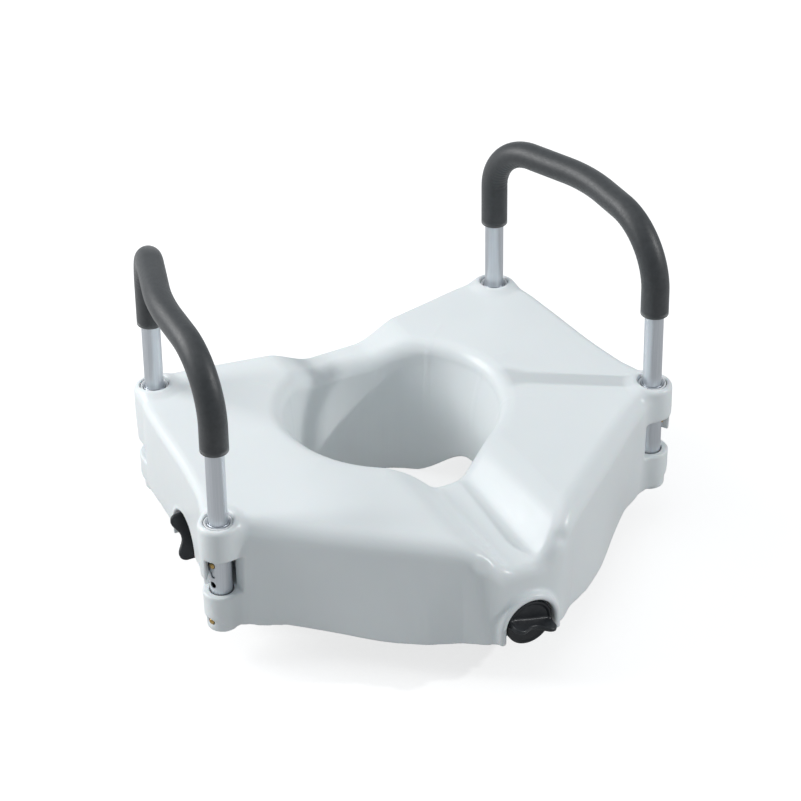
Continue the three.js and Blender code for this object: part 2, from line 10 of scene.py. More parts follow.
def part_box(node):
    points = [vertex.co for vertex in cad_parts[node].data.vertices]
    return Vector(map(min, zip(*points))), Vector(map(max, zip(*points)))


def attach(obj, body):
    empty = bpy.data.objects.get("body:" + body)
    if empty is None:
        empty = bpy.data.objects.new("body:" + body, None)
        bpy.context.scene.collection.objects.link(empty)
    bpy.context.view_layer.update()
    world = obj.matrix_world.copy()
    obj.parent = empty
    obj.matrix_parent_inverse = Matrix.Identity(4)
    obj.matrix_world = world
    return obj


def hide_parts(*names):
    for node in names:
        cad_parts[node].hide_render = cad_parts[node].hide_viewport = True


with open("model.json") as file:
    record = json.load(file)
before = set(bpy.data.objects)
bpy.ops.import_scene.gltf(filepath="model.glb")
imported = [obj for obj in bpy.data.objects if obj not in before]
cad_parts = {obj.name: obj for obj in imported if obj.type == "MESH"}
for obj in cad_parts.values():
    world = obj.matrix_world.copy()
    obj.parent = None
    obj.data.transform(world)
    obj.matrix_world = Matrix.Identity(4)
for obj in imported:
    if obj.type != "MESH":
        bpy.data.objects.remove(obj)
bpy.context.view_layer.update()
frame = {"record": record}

# The finished look of a raised toilet seat with padded arms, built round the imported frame.
# Shapes are drawn in millimetres along the frame's own axes (+Z up, -Y the front), from a point
# midway between the legs and SEAT_TOP below the seat's upper face. They are scaled to metres
# when they become meshes, and moved into the frame when they take a CAD node's place.

MM = 0.001
SEAT_TOP = 128.0
BUSH_RECESS = 0.4


# ---------------------------------------------------------------- places taken from the frame


def drawing_origin():
    """The point the shapes are drawn from, in the frame's metres."""
    collars = [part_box(f"right_{end}_collar") for end in ("front", "rear")]
    along = np.mean([corner[1] for pair in collars for corner in pair])
    return Vector((0, along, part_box("seat_shell")[1][2] - SEAT_TOP * MM))


DRAWN_FROM = drawing_origin()


def node_box(node):
    """Lowest corner, highest corner and middle of a CAD node, as drawn."""
    low, high = ((np.array(corner) - np.array(DRAWN_FROM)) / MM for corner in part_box(node))
    return low, high, (low + high) / 2


SHELL_LOW, SHELL_HIGH, _ = node_box("seat_shell")
GUARD_BOTTOM = SHELL_LOW[2]


class Leg:
    """A socket of the shell, with the sleeve and the arm's end that stand in it."""

    def __init__(self, hand, end):
        self.name = f"{hand}_{end}"
        self.hand = hand
        self.side = 1 if hand == "right" else -1
        self.end = 1 if end == "front" else -1
        _, _, middle = node_box(f"{self.name}_collar")
        self.x, self.y = middle[:2]

    def direction(self, turn):
        """Angle of a direction turned from straight outward towards the front or the rear."""
        return math.radians(-self.end * turn if self.side > 0 else 180 + self.end * turn)

    def placed(self, points, turn):
        """Points drawn round the Z axis with +X outward, moved to the leg."""
        angle = self.direction(turn)
        x, y, z = np.asarray(points, float).T
        across = self.x + x * math.cos(angle) - y * math.sin(angle)
        along = self.y + x * math.sin(angle) + y * math.cos(angle)
        return np.stack([across, along, z], axis=1)


class Clamp:
    """A knob with its screw and jaw. Its own X axis points outward from the niche's floor."""

    def __init__(self, name, turn, wing_turn):
        self.name = name
        self.rim = NICHE_RIM["front" if name == "front" else "side"]
        self.angle = math.radians(turn)
        self.wing_turn = math.radians(wing_turn)
        self.outward = np.array([math.cos(self.angle), math.sin(self.angle), 0])
        low, high, middle = node_box(f"{name}_bush")
        self.origin = middle + self.outward * (np.abs((high - low) @ self.outward) / 2 + BUSH_RECESS)

    def placed(self, points):
        x, y, z = np.asarray(points, float).T
        c, s = math.cos(self.angle), math.sin(self.angle)
        return np.stack([x * c - y * s, x * s + y * c, z], axis=1) + self.origin


# ---------------------------------------------------------------- driving values of the shell

WALL = 4.0
OPENING = {"y": -15.0, "radius": 104.0, "round_up_to": 40.0}
BRIM = {"half_width": 115.0, "front": 118.0, "rear": 99.0, "roll": 17.0}
GUARD = {"arch": 3.0, "arch_middle": 4.0, "arch_flat": 4.0, "arch_end": 45.5}
TROUGH = {"floor": 17.0, "top": 50.0, "floor_blend": 0.25, "top_blend": 0.6, "depth": 31.0, "start": -90.0}
FRONT_DROP = {"depth": 6.0, "from": 120.0, "to": 290.0}
DIMPLE = {"place": (46.0, -291.0, 104.0), "depth": 2.6, "radius": 8.0}
DIP = {"floor": 26.0, "top": 78.0, "depth": 17.0, "start": 60.0}
SLOPE_LENGTH = 40.0
SKIRT = {"bend": 1.3, "past_foot": 1.1}
BOSS = {"top": 21.0, "low": 18.6, "taper_from": 100.0, "taper_to": 35.0, "bottom": 13.0, "roll": 5.0}
BOSS_FILLET = 12.0
STUB = {"radius": 16.5, "bottom": 0.0, "roll": 2.5}
SOCKET = {"bore": 12.0, "mouth": 15.4, "mouth_floor": 122.0}
WINDOW = {"turn": 50.0, "rear": 10.5, "front": 14.5, "back": -5.0, "splay": 1.35, "low": 45.0, "high": 90.0}
SLOT = {"inner": 3.0, "outer": 14.0, "depth": 40.0}
SIDE_GAP = {"back": -4.0, "reach": 30.0, "high": 65.0}
BUTTON_TURN = 19.0
KEYWAY = {"half": 4.6, "reach": 15.0, "low": 47.0}
HOLE_HEIGHTS = [79.0, 67.0, 55.0]
LOCK_HEIGHT = 11.5
HOLE_RADIUS = 3.7
NICHE = {"radius": 28.0, "drop": 17.0, "hole": 8.4, "floor_roll": 3.0, "edge": 2.2}
NICHE_RIM = {
    "front": {"reach": 13.0, "radius": 35.0, "fillet": 4.0},
    "side": {"reach": 16.0, "radius": 32.0, "fillet": 3.0},
}
HUB = {"radius": 12.0, "back": -12.0}
RAIL = {"inner": 17.5, "outer": 21.5, "reach": -52.0, "half_height": 12.0}
WEB = {"low": 42.0, "high": 46.0, "inner": 106.0, "outer": 152.0, "rear": 117.0}
RIBS = {"angles": [5, 40, 300, 330], "inner": 105.5, "outer": 150.0, "thick": 3.0, "fillet": 2.0}

# Half of the seat's outline, from the rear centre to the front centre: the plan position
# under the seat's edge, that of the skirt's foot with its height, and the edge's radius.
OUTLINE = [
    ((0, 122), (0, 122), 16, 9),
    ((30, 122), (30, 122), 16, 9),
    ((64, 123), (64, 123), 16, 9),
    ((134, 136), (134, 138), 16, 9),
    ((202, 143), (202, 143), 18, 9),
    ((225, 122), (225, 122), 18, 9),
    ((236, 68), (234, 68), 20, 10),
    ((243, -14), (240, -14), 20, 10),
    ((252, -74), (249, -74), 22, 10),
    ((262, -112), (260, -112), 44, 12),
    ((248, -137), (240, -137), 4, 16),
    ((208, -168), (208, -158), 2, 20),
    ((160, -207), (162, -202), 2, 22),
    ((128, -233), (130, -235), 2, 22),
    ((92, -262), (92, -266), 4, 22),
    ((64, -285), (62, -284), 7, 22),
    ((46, -298), (42, -302), 9, 22),
    ((22, -303), (22, -308), 11, 15),
    ((0, -304), (0, -309), 11, 12),
]
OUTLINE_STEPS = 5
SHELL_FACES = 190000
SHELL_CELL = 1.7

LEGS = [Leg(hand, end) for hand in ("left", "right") for end in ("front", "rear")]
CLAMPS = [Clamp("front", -90, 74.7), Clamp("right", 0, 10), Clamp("left", 180, 29.8)]


# ---------------------------------------------------------------- driving values of the arms

TUBE = {"outer": 10.0, "inner": 8.5, "bottom": 62.0, "chamfer": 0.5}
SLEEVE = {"outer": 11.5, "inner": 10.4, "bottom": 2.0, "edge": 0.35}
ARM = {"rear": 177.7, "front": 180.2, "middle": 185.0, "middle_along": 130.7, "bow": 18.4}
ARM_BENDS = [56.0, 200.0, 69.0]
GRIP = {"rear_end": 207.0, "front_end": 215.5, "top": 14.2, "front": 14.8, "inner": 10.4, "sunk": 4.0}
CREASE = {"depth": 0.45, "spacing": 5.5, "sway": 1.5, "sway_length": 17.0, "bend": 120.0, "slack": 0.5}
COLLAR = {"bore": 11.9, "bevel": 1.2, "crown": 0.2, "lead_in": 1.4, "lead_depth": 2.0, "edge": 0.7}
END_PLUG = {"gap": 0.3, "inset": 0.2, "play": 0.4, "taper": 0.8, "cup": 6.0, "floor": 1.5, "edge": 0.5}
CLIPS = {
    "height": {"z": HOLE_HEIGHTS[0], "tip": 13.8, "front": 7.2, "back": -3.8, "rise": 24.0},
    "lock": {"z": LOCK_HEIGHT, "tip": 17.8, "front": 9.2, "back": -1.5, "rise": 20.0},
}
CLIP = {"leaf": 0.8, "width": 6.0, "button": 3.2, "dome": 1.4, "front_foot": 5.5, "back_foot": 4.0}
DRILL_REACH = 20.0


# ---------------------------------------------------------------- driving values of the clamps

KNOB = {"radius": 25.5, "back": 1.0, "face": 10.0, "rim": 3.5, "dish": 1.2, "bore_end": 6.5}
WING = {"tip": 17.0, "waist": 9.5, "lobe": 17.0, "thick": 7.0, "taper": 0.1, "flare": 0.35, "droop": 0.05}
SCREW = {"radius": 4.0, "length": 62.0, "head": 6.0, "lead": 4.0, "depth": 0.9, "plain": 9.0, "tip": 0.6}
THREAD = {"crest": 0.35, "flank": 0.3, "run_out": 3.0, "run_in": 1.5}
SCREW_SIDES = 28
SCREW_STEP = 0.5
BUSH = {"back": -11.8, "outer": 8.0, "edge": 0.6}
RING = {"outer": 8.2, "back": -14.0, "face": -12.3, "gap": 1.6}
JAW = {"half": 17.0, "face": -17.0, "back": -29.0, "pocket": 6.6, "pocket_depth": 8.0}
JAW_SLOT = {"place": 12.5, "half": 2.0, "length": 12.0, "depth": 6.0}
NUT = {"half": 5.9, "start": 0.5, "thick": 6.0, "corner": 8.6, "bevel": 0.8}
JAW_PAD = {"thick": 5.0, "gap": 0.3, "grooves": 3, "groove": 1.1}
RIM_PAD = {"half_x": 13.0, "half_y": 15.0, "grooves": 2, "groove": 0.9}
GROOVE_SPACING = 4.6


# ---------------------------------------------------------------- driving values of the view

VIEW = {"azimuth": -27.84, "elevation": 34.105, "roll": -0.85, "distance": 3.504, "lens": 150.1}
AIM = DRAWN_FROM + Vector((0.0064, -0.0267, SEAT_TOP * MM))
FLOOR_HALF = 6.0
FLOOR_GLOW = {"seen": 0.62, "always": 0.10}

# Each lamp: the direction it stands in from the object, its distance, its size and its power.
LAMPS = {
    "rear_left_lamp": ((-0.8, 0.6, 0.62), 2.8, 1.6, 62),
    "top_lamp": ((-0.1, 0.1, 1), 2.8, 2.4, 10),
    "right_lamp": ((0.841, -0.533, 0.564), 4.0, 0.16, 54),
}


# ---------------------------------------------------------------- distance fields


def smooth_step(value, low, high):
    share = np.clip((value - low) / (high - low), 0, 1)
    return share * share * (3 - 2 * share)


def rounded_or(a, b, radius):
    """Both shapes as one, with a fillet where they meet. A field is negative inside its shape."""
    corner = np.hypot(np.maximum(radius - a, 0), np.maximum(radius - b, 0))
    return np.maximum(radius, np.minimum(a, b)) - corner


def rounded_and(a, b, radius):
    return -rounded_or(-a, -b, radius)


def without(a, b, radius):
    return rounded_and(a, -b, radius)


def evened(field, cell):
    """The same shape, with the field's slope brought down to 1 where it is steeper."""
    steepness = np.zeros_like(field)
    for axis in range(3):
        steepness += np.gradient(field, cell, axis=axis) ** 2
    return field / np.maximum(np.sqrt(steepness), 1)


def slab(value, low, high):
    return np.maximum(low - value, value - high)


def closed_curve(points, steps):
    """Catmull-Rom curve through a closed run of points, spaced by the square root of length."""
    points = np.asarray(points, float)
    count = len(points)
    curve = []
    for i in range(count):
        p = [points[(i + k) % count] for k in (-1, 0, 1, 2)]
        t = [0.0]
        for a, b in zip(p, p[1:]):
            t.append(t[-1] + math.sqrt(max(np.linalg.norm((b - a)[:2]), 1e-6)))
        for step in range(steps):
            u = t[1] + (t[2] - t[1]) * step / steps
            row = p
            for order in (1, 2, 3):
                row = [
                    ((t[k + order] - u) * row[k] + (u - t[k]) * row[k + 1]) / (t[k + order] - t[k])
                    for k in range(len(row) - 1)
                ]
            curve.append(row[0])
    return np.array(curve)


def distance_to_outline(x, y, outline):
    """Signed distance in plan to a closed outline, and the place of the nearest point along it."""
    best = np.full(x.shape, np.inf)
    place = np.zeros(x.shape)
    crossings = np.zeros(x.shape, int)
    for i, (ax, ay) in enumerate(outline):
        bx, by = outline[(i + 1) % len(outline)]
        dx, dy = bx - ax, by - ay
        share = np.clip(((x - ax) * dx + (y - ay) * dy) / (dx * dx + dy * dy), 0, 1)
        distance = np.hypot(x - ax - share * dx, y - ay - share * dy)
        nearer = distance < best
        best = np.where(nearer, distance, best)
        place = np.where(nearer, i + share, place)
        if ay != by:
            crossings += ((ay > y) != (by > y)) & (x < ax + (y - ay) * dx / dy)
    return np.where(crossings % 2 == 1, -best, best), place


class Lattice:
    """Sample points of a field: x, y and z broadcast against each other."""

    def __init__(self, low, high, cell):
        self.low, self.cell = np.asarray(low, float), cell
        axes = [np.arange(a, b + cell, cell) for a, b in zip(low, high)]
        self.x = axes[0][:, None, None]
        self.y = axes[1][None, :, None]
        self.z = axes[2][None, None, :]


def surface_net(field, lattice):
    """Quads on the zero surface of a sampled field, with one vertex in each cell it crosses."""
    inside = field < 0
    corners = [
        inside[i : inside.shape[0] - 1 + i, j : inside.shape[1] - 1 + j, k : inside.shape[2] - 1 + k]
        for i in (0, 1) for j in (0, 1) for k in (0, 1)
    ]
    full = np.sum(corners, axis=0, dtype=np.uint8)
    crossed = (full > 0) & (full < 8)
    count = int(crossed.sum())
    ids = np.full(crossed.shape, -1, np.int32)
    ids[crossed] = np.arange(count)
    total = np.zeros((count, 3))
    hits = np.zeros(count)
    quads = []
    for axis in range(3):
        ahead = [slice(None)] * 3
        here = [slice(None)] * 3
        ahead[axis] = slice(1, None)
        here[axis] = slice(None, -1)
        first, second = inside[tuple(here)], inside[tuple(ahead)]
        at = np.argwhere(first != second)
        b, c = (axis + 1) % 3, (axis + 2) % 3
        room = (at[:, b] > 0) & (at[:, c] > 0)
        room &= (at[:, b] < inside.shape[b] - 1) & (at[:, c] < inside.shape[c] - 1)
        at = at[room]
        step = np.eye(3, dtype=int)
        start = field[tuple(at.T)]
        finish = field[tuple((at + step[axis]).T)]
        point = at.astype(float)
        point[:, axis] += start / (start - finish)
        around = [ids[tuple((at - step[b] * i - step[c] * j).T)] for i, j in ((1, 1), (0, 1), (0, 0), (1, 0))]
        for cell_ids in around:
            hits += np.bincount(cell_ids, minlength=count)
            for k in range(3):
                total[:, k] += np.bincount(cell_ids, weights=point[:, k], minlength=count)
        ring = np.stack(around, axis=1)
        backwards = start >= 0
        ring[backwards] = ring[backwards][:, ::-1]
        quads.append(ring)
    vertices = total / hits[:, None] * lattice.cell + lattice.low
    return vertices, np.concatenate(quads)


def sampled(field, lattice, points):
    """The field at any points, from its samples."""
    place = (points - lattice.low) / lattice.cell
    place = np.clip(place, 0, np.array(field.shape) - 1.001)
    base = place.astype(int)
    share = place - base
    value = np.zeros(len(points))
    for i in (0, 1):
        for j in (0, 1):
            for k in (0, 1):
                weight = np.abs(share - [1 - i, 1 - j, 1 - k]).prod(axis=1)
                value += weight * field[base[:, 0] + i, base[:, 1] + j, base[:, 2] + k]
    return value


def slope(field, lattice, points):
    """Direction in which the field rises, at any points."""
    rise = np.zeros_like(points)
    reach = 0.75 * lattice.cell
    for k in range(3):
        shift = np.zeros(3)
        shift[k] = reach
        rise[:, k] = sampled(field, lattice, points + shift) - sampled(field, lattice, points - shift)
    return rise / (2 * reach)


def relaxed(vertices, quads, field, lattice, rounds):
    """Spreads the vertices evenly, and sets them back on the zero surface each time."""
    a = quads.ravel()
    b = np.roll(quads, -1, axis=1).ravel()
    ends = np.concatenate([a, b])
    others = np.concatenate([b, a])
    count = np.bincount(ends, minlength=len(vertices))
    for _ in range(rounds):
        middle = np.stack(
            [np.bincount(ends, weights=vertices[others, k], minlength=len(vertices)) for k in range(3)],
            axis=1,
        )
        vertices = vertices + 0.6 * (middle / count[:, None] - vertices)
        rise = slope(field, lattice, vertices)
        steep = np.maximum((rise * rise).sum(axis=1), 0.3)
        step = sampled(field, lattice, vertices) / steep
        step = np.clip(step, -0.5 * lattice.cell, 0.5 * lattice.cell)
        vertices = vertices - rise * step[:, None]
    return vertices


# ---------------------------------------------------------------- meshes and pieces


def new_object(name, vertices, faces):
    """A smooth-shaded mesh object from points in millimetres."""
    mesh = bpy.data.meshes.new(name)
    mesh.from_pydata((np.asarray(vertices) * MM).tolist(), [], [list(map(int, face)) for face in faces])
    mesh.polygons.foreach_set("use_smooth", np.ones(len(mesh.polygons), bool))
    mesh.update()
    obj = bpy.data.objects.new(name, mesh)
    bpy.context.scene.collection.objects.link(obj)
    return obj


def apply_modifiers(obj):
    bpy.context.view_layer.update()
    evaluated = obj.evaluated_get(bpy.context.evaluated_depsgraph_get())
    mesh = bpy.data.meshes.new_from_object(evaluated)
    obj.modifiers.clear()
    obj.data = mesh
    return obj


def thinned(obj, faces):
    """Fewer triangles, taken from where the surface is flattest."""
    triangles = sum(len(p.vertices) - 2 for p in obj.data.polygons)
    if triangles <= faces:
        return obj
    fewer = obj.modifiers.new("fewer", "DECIMATE")
    fewer.ratio = faces / triangles
    return apply_modifiers(obj)


def field_object(name, shape, low, high, cell, faces, mirror=False):
    """A mesh of the zero surface of shape(x, y, z). A mirrored one is sampled on +X only."""
    lattice = Lattice(low, high, cell)
    field = shape(lattice.x, lattice.y, lattice.z).astype(np.float32)
    if mirror:
        field = np.concatenate([field[:0:-1], field])
        lattice.low = np.array([-(field.shape[0] // 2) * cell, lattice.low[1], lattice.low[2]])
    vertices, quads = surface_net(field, lattice)
    vertices = relaxed(vertices, quads, field, lattice, 3)
    obj = thinned(new_object(name, vertices, quads), faces)
    points = np.array([v.co for v in obj.data.vertices]) / MM
    normals = slope(field, lattice, points)
    normals /= np.maximum(np.linalg.norm(normals, axis=1, keepdims=True), 1e-9)
    obj.data.normals_split_custom_set_from_vertices(normals.tolist())
    return obj


def moved(obj, place):
    """Applies a placing function for points in millimetres to an object's mesh."""
    points = np.array([v.co for v in obj.data.vertices]) / MM
    obj.data.vertices.foreach_set("co", (place(points) * MM).ravel())
    obj.data.update()
    return obj


BODY_OF = {n: body for body, nodes in frame["record"]["behaviour"]["bodies"].items() for n in nodes}


def stands_for(obj, node, material):
    """The finished piece takes the place of a CAD node, on the same body."""
    obj.data.transform(Matrix.Translation(DRAWN_FROM))
    obj.data.materials.clear()
    obj.data.materials.append(material)
    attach(obj, BODY_OF[node])
    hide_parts(node)
    return obj


# ---------------------------------------------------------------- the seat shell


def soft_ramp(value, low, high, low_blend, high_blend):
    """0 below low, 1 above high, straight between them, with rounded corners."""
    share = (value - low) / (high - low)
    share = np.maximum(share, 0) + np.maximum(low_blend - np.abs(share), 0) ** 2 / (4 * low_blend)
    return np.minimum(share, 1) - np.maximum(high_blend - np.abs(1 - share), 0) ** 2 / (4 * high_blend)


def seat_height(x, y):
    """Height of the seat's upper face, with the front trough and the rear dip."""
    side = np.abs(x)
    trough = 1 - soft_ramp(side, TROUGH["floor"], TROUGH["top"], TROUGH["floor_blend"], TROUGH["top_blend"])
    depth = TROUGH["depth"] + FRONT_DROP["depth"] * smooth_step(-y, FRONT_DROP["from"], FRONT_DROP["to"])
    dip = 1 - smooth_step(side, DIP["floor"], DIP["top"])
    in_front = 1 - smooth_step(y, TROUGH["start"], TROUGH["start"] + SLOPE_LENGTH)
    at_rear = smooth_step(y, DIP["start"] - SLOPE_LENGTH, DIP["start"])
    return SEAT_TOP - depth * trough * in_front - DIP["depth"] * dip * at_rear


def brim_radius(turn):
    """Half an oval to the front and a shorter half to the rear."""
    half_depth = np.where(np.sin(turn) < 0, BRIM["front"], BRIM["rear"])
    return 1 / np.hypot(np.cos(turn) / BRIM["half_width"], np.sin(turn) / half_depth)


def guard_bottom(turn):
    """The guard is a front and a rear tongue with an arch between them at each side."""
    from_side = np.abs(np.degrees(np.arcsin(np.sin(turn))) - GUARD["arch_middle"])
    arch = 1 - smooth_step(from_side, GUARD["arch_flat"], GUARD["arch_end"])
    return GUARD_BOTTOM + (GUARD["arch"] - GUARD_BOTTOM) * arch


def blurred(values, rounds):
    for _ in range(rounds):
        for axis in (0, 1):
            padded = np.concatenate([values.take([0], axis), values, values.take([-1], axis)], axis=axis)
            before = padded.take(range(0, padded.shape[axis] - 2), axis)
            after = padded.take(range(2, padded.shape[axis]), axis)
            values = (before + 2 * values + after) / 4
    return values


def closed_outline(which):
    """The whole outline from its right half: which is 0 under the seat's edge, 1 at the foot."""
    right = [(*row[which], row[2], row[3]) for row in OUTLINE]
    left = [(-x, y, foot, roll) for x, y, foot, roll in right[-2:0:-1]]
    return closed_curve(right + left, OUTLINE_STEPS)


def throat_field(x, y, z):
    """Distance to the opening's wall, round below and oval at the brim. Negative in the seat."""
    turn = np.arctan2(y - OPENING["y"], x)
    radius = np.hypot(x, y - OPENING["y"])
    brim = brim_radius(turn)
    crest = brim + BRIM["roll"]
    brim_height = seat_height(crest * np.cos(turn), OPENING["y"] + crest * np.sin(turn))
    rise = brim_height - BRIM["roll"] - OPENING["round_up_to"]
    share = np.clip((z - OPENING["round_up_to"]) / rise, 0, 1)
    widening = brim - OPENING["radius"]
    lean = np.hypot(1, 2 * widening * share / rise)
    return (OPENING["radius"] + widening * share * share - radius) / lean


def boss_radius(z):
    share = np.clip((z - BOSS["taper_to"]) / (BOSS["taper_from"] - BOSS["taper_to"]), 0, 1)
    return BOSS["low"] + (BOSS["top"] - BOSS["low"]) * share


def clamp_space(clamp, x, y, z):
    """Depth out of the niche's floor, and place across and up from the clamp's axis."""
    depth = (x - clamp.origin[0]) * clamp.outward[0] + (y - clamp.origin[1]) * clamp.outward[1]
    across = (y - clamp.origin[1]) * clamp.outward[0] - (x - clamp.origin[0]) * clamp.outward[1]
    return depth, across, z - clamp.origin[2]


def arch_field(across, up, radius):
    """An arch with straight sides that run down without end."""
    return np.where(up > 0, np.hypot(across, up), np.abs(across)) - radius


def niche_rim(clamp, x, y, z):
    """The raised rim that the niche is cut into."""
    depth, across, up = clamp_space(clamp, x, y, z)
    rim = rounded_and(arch_field(across, up, clamp.rim["radius"]), depth - clamp.rim["reach"], 4)
    rim = rounded_and(rim, -NICHE["drop"] - up, 2.5)
    return np.maximum(rim, -WALL - depth)


def clamp_inside(clamp, x, y, z):
    """The hub that holds the bush, and the rails that keep the jaw from turning."""
    depth, across, up = clamp_space(clamp, x, y, z)
    hub = np.maximum(np.hypot(across, up) - HUB["radius"], slab(depth, HUB["back"], -1))
    rails = np.maximum(slab(np.abs(across), RAIL["inner"], RAIL["outer"]), slab(depth, RAIL["reach"], -1))
    rails = np.maximum(rails, np.abs(up) - RAIL["half_height"])
    return rounded_or(hub, rails, 1)


def clamp_cut(clamp, x, y, z):
    depth, across, up = clamp_space(clamp, x, y, z)
    niche = rounded_and(arch_field(across, up, NICHE["radius"]), -depth, NICHE["floor_roll"])
    hole = np.maximum(np.hypot(across, up) - NICHE["hole"], HUB["back"] - 1 - depth)
    return np.minimum(niche, hole)


def web_and_ribs(x, y, z):
    """The ring that carries the rim pads, and the ribs that tie it to the guard."""
    from_axis = y - OPENING["y"]
    radius = np.hypot(x, from_axis)
    web = np.maximum(slab(radius, WEB["inner"], WEB["outer"]), slab(z, WEB["low"], WEB["high"]))
    web = np.maximum(web, y - WEB["rear"])
    for angle in RIBS["angles"]:
        c, s = math.cos(math.radians(angle)), math.sin(math.radians(angle))
        rib = np.abs(from_axis * c - x * s) - RIBS["thick"] / 2
        rib = np.maximum(rib, slab(x * c + from_axis * s, RIBS["inner"], RIBS["outer"]))
        web = rounded_or(web, np.maximum(rib, WEB["low"] + 1 - z), RIBS["fillet"])
    return web


def socket_cuts(leg, x, y, z):
    """Everything cut into a socket except its window: bore, mouth, the button's keyway and its lock hole."""
    dx, dy = x - leg.x, y - leg.y
    around = np.hypot(dx, dy)
    cuts = around - SOCKET["bore"]
    cuts = np.minimum(cuts, np.maximum(around - SOCKET["mouth"], SOCKET["mouth_floor"] - z))
    turn = leg.direction(BUTTON_TURN)
    out = dx * math.cos(turn) + dy * math.sin(turn)
    across = dy * math.cos(turn) - dx * math.sin(turn)
    keyway = np.maximum(np.abs(across) - KEYWAY["half"], slab(out, 0, KEYWAY["reach"]))
    lock = np.hypot(across, z - LOCK_HEIGHT) - HOLE_RADIUS
    cuts = np.minimum(cuts, np.maximum(keyway, KEYWAY["low"] - z))
    return np.minimum(cuts, np.maximum(lock, -out))


def window_space(leg, x, y):
    """Place outward through a socket's window, and across it towards the seat's front or rear."""
    dx, dy = x - leg.x, y - leg.y
    turn = leg.direction(WINDOW["turn"])
    out = dx * math.cos(turn) + dy * math.sin(turn)
    return out, (dx * math.sin(turn) - dy * math.cos(turn)) * leg.side * leg.end


def window_backing(leg, x, y, z):
    """Solid behind the window's splayed side and the side gap, and round the slot."""
    out, across = window_space(leg, x, y)
    block = np.maximum(slab(across, 4, WINDOW["front"] + 18), WINDOW["back"] - 2 * WALL - out)
    case = slab(across, SLOT["inner"] - WALL, SLOT["outer"] + WALL)
    block = np.minimum(block, np.maximum(case, -SLOT["depth"] - WALL - out))
    gap_back = np.maximum(slab(across, -SIDE_GAP["reach"] - WALL, WALL), SIDE_GAP["back"] - 2 * WALL - out)
    block = np.minimum(block, gap_back)
    return np.maximum(block, slab(z, WINDOW["low"] - 2 * WALL, WINDOW["high"] + 2 * WALL))


def window_cut(leg, x, y, z):
    """The window that shows the sleeve, splayed to the front, and open below on the outer side."""
    out, across = window_space(leg, x, y)
    splayed = across - WINDOW["front"] - WINDOW["splay"] * (out - WINDOW["back"])
    splayed = splayed / math.hypot(1, WINDOW["splay"])
    window = rounded_and(splayed, slab(z, WINDOW["low"], WINDOW["high"]), 1.5)
    window = rounded_and(window, -WINDOW["rear"] - across, 1)
    window = np.maximum(window, WINDOW["back"] - out)
    pocket = np.maximum(np.hypot(x - leg.x, y - leg.y) - WINDOW["front"], -across)
    slot = np.maximum(slab(across, SLOT["inner"], SLOT["outer"]), slab(out, -SLOT["depth"], 0))
    beside = np.maximum(np.minimum(pocket, slot), slab(z, WINDOW["low"] + 2, WINDOW["high"] - 1))
    window = np.minimum(window, beside)
    gap = rounded_and(slab(across, -SIDE_GAP["reach"], 0), slab(z, WINDOW["low"], SIDE_GAP["high"]), 2)
    return np.minimum(window, np.maximum(gap, SIDE_GAP["back"] - out))


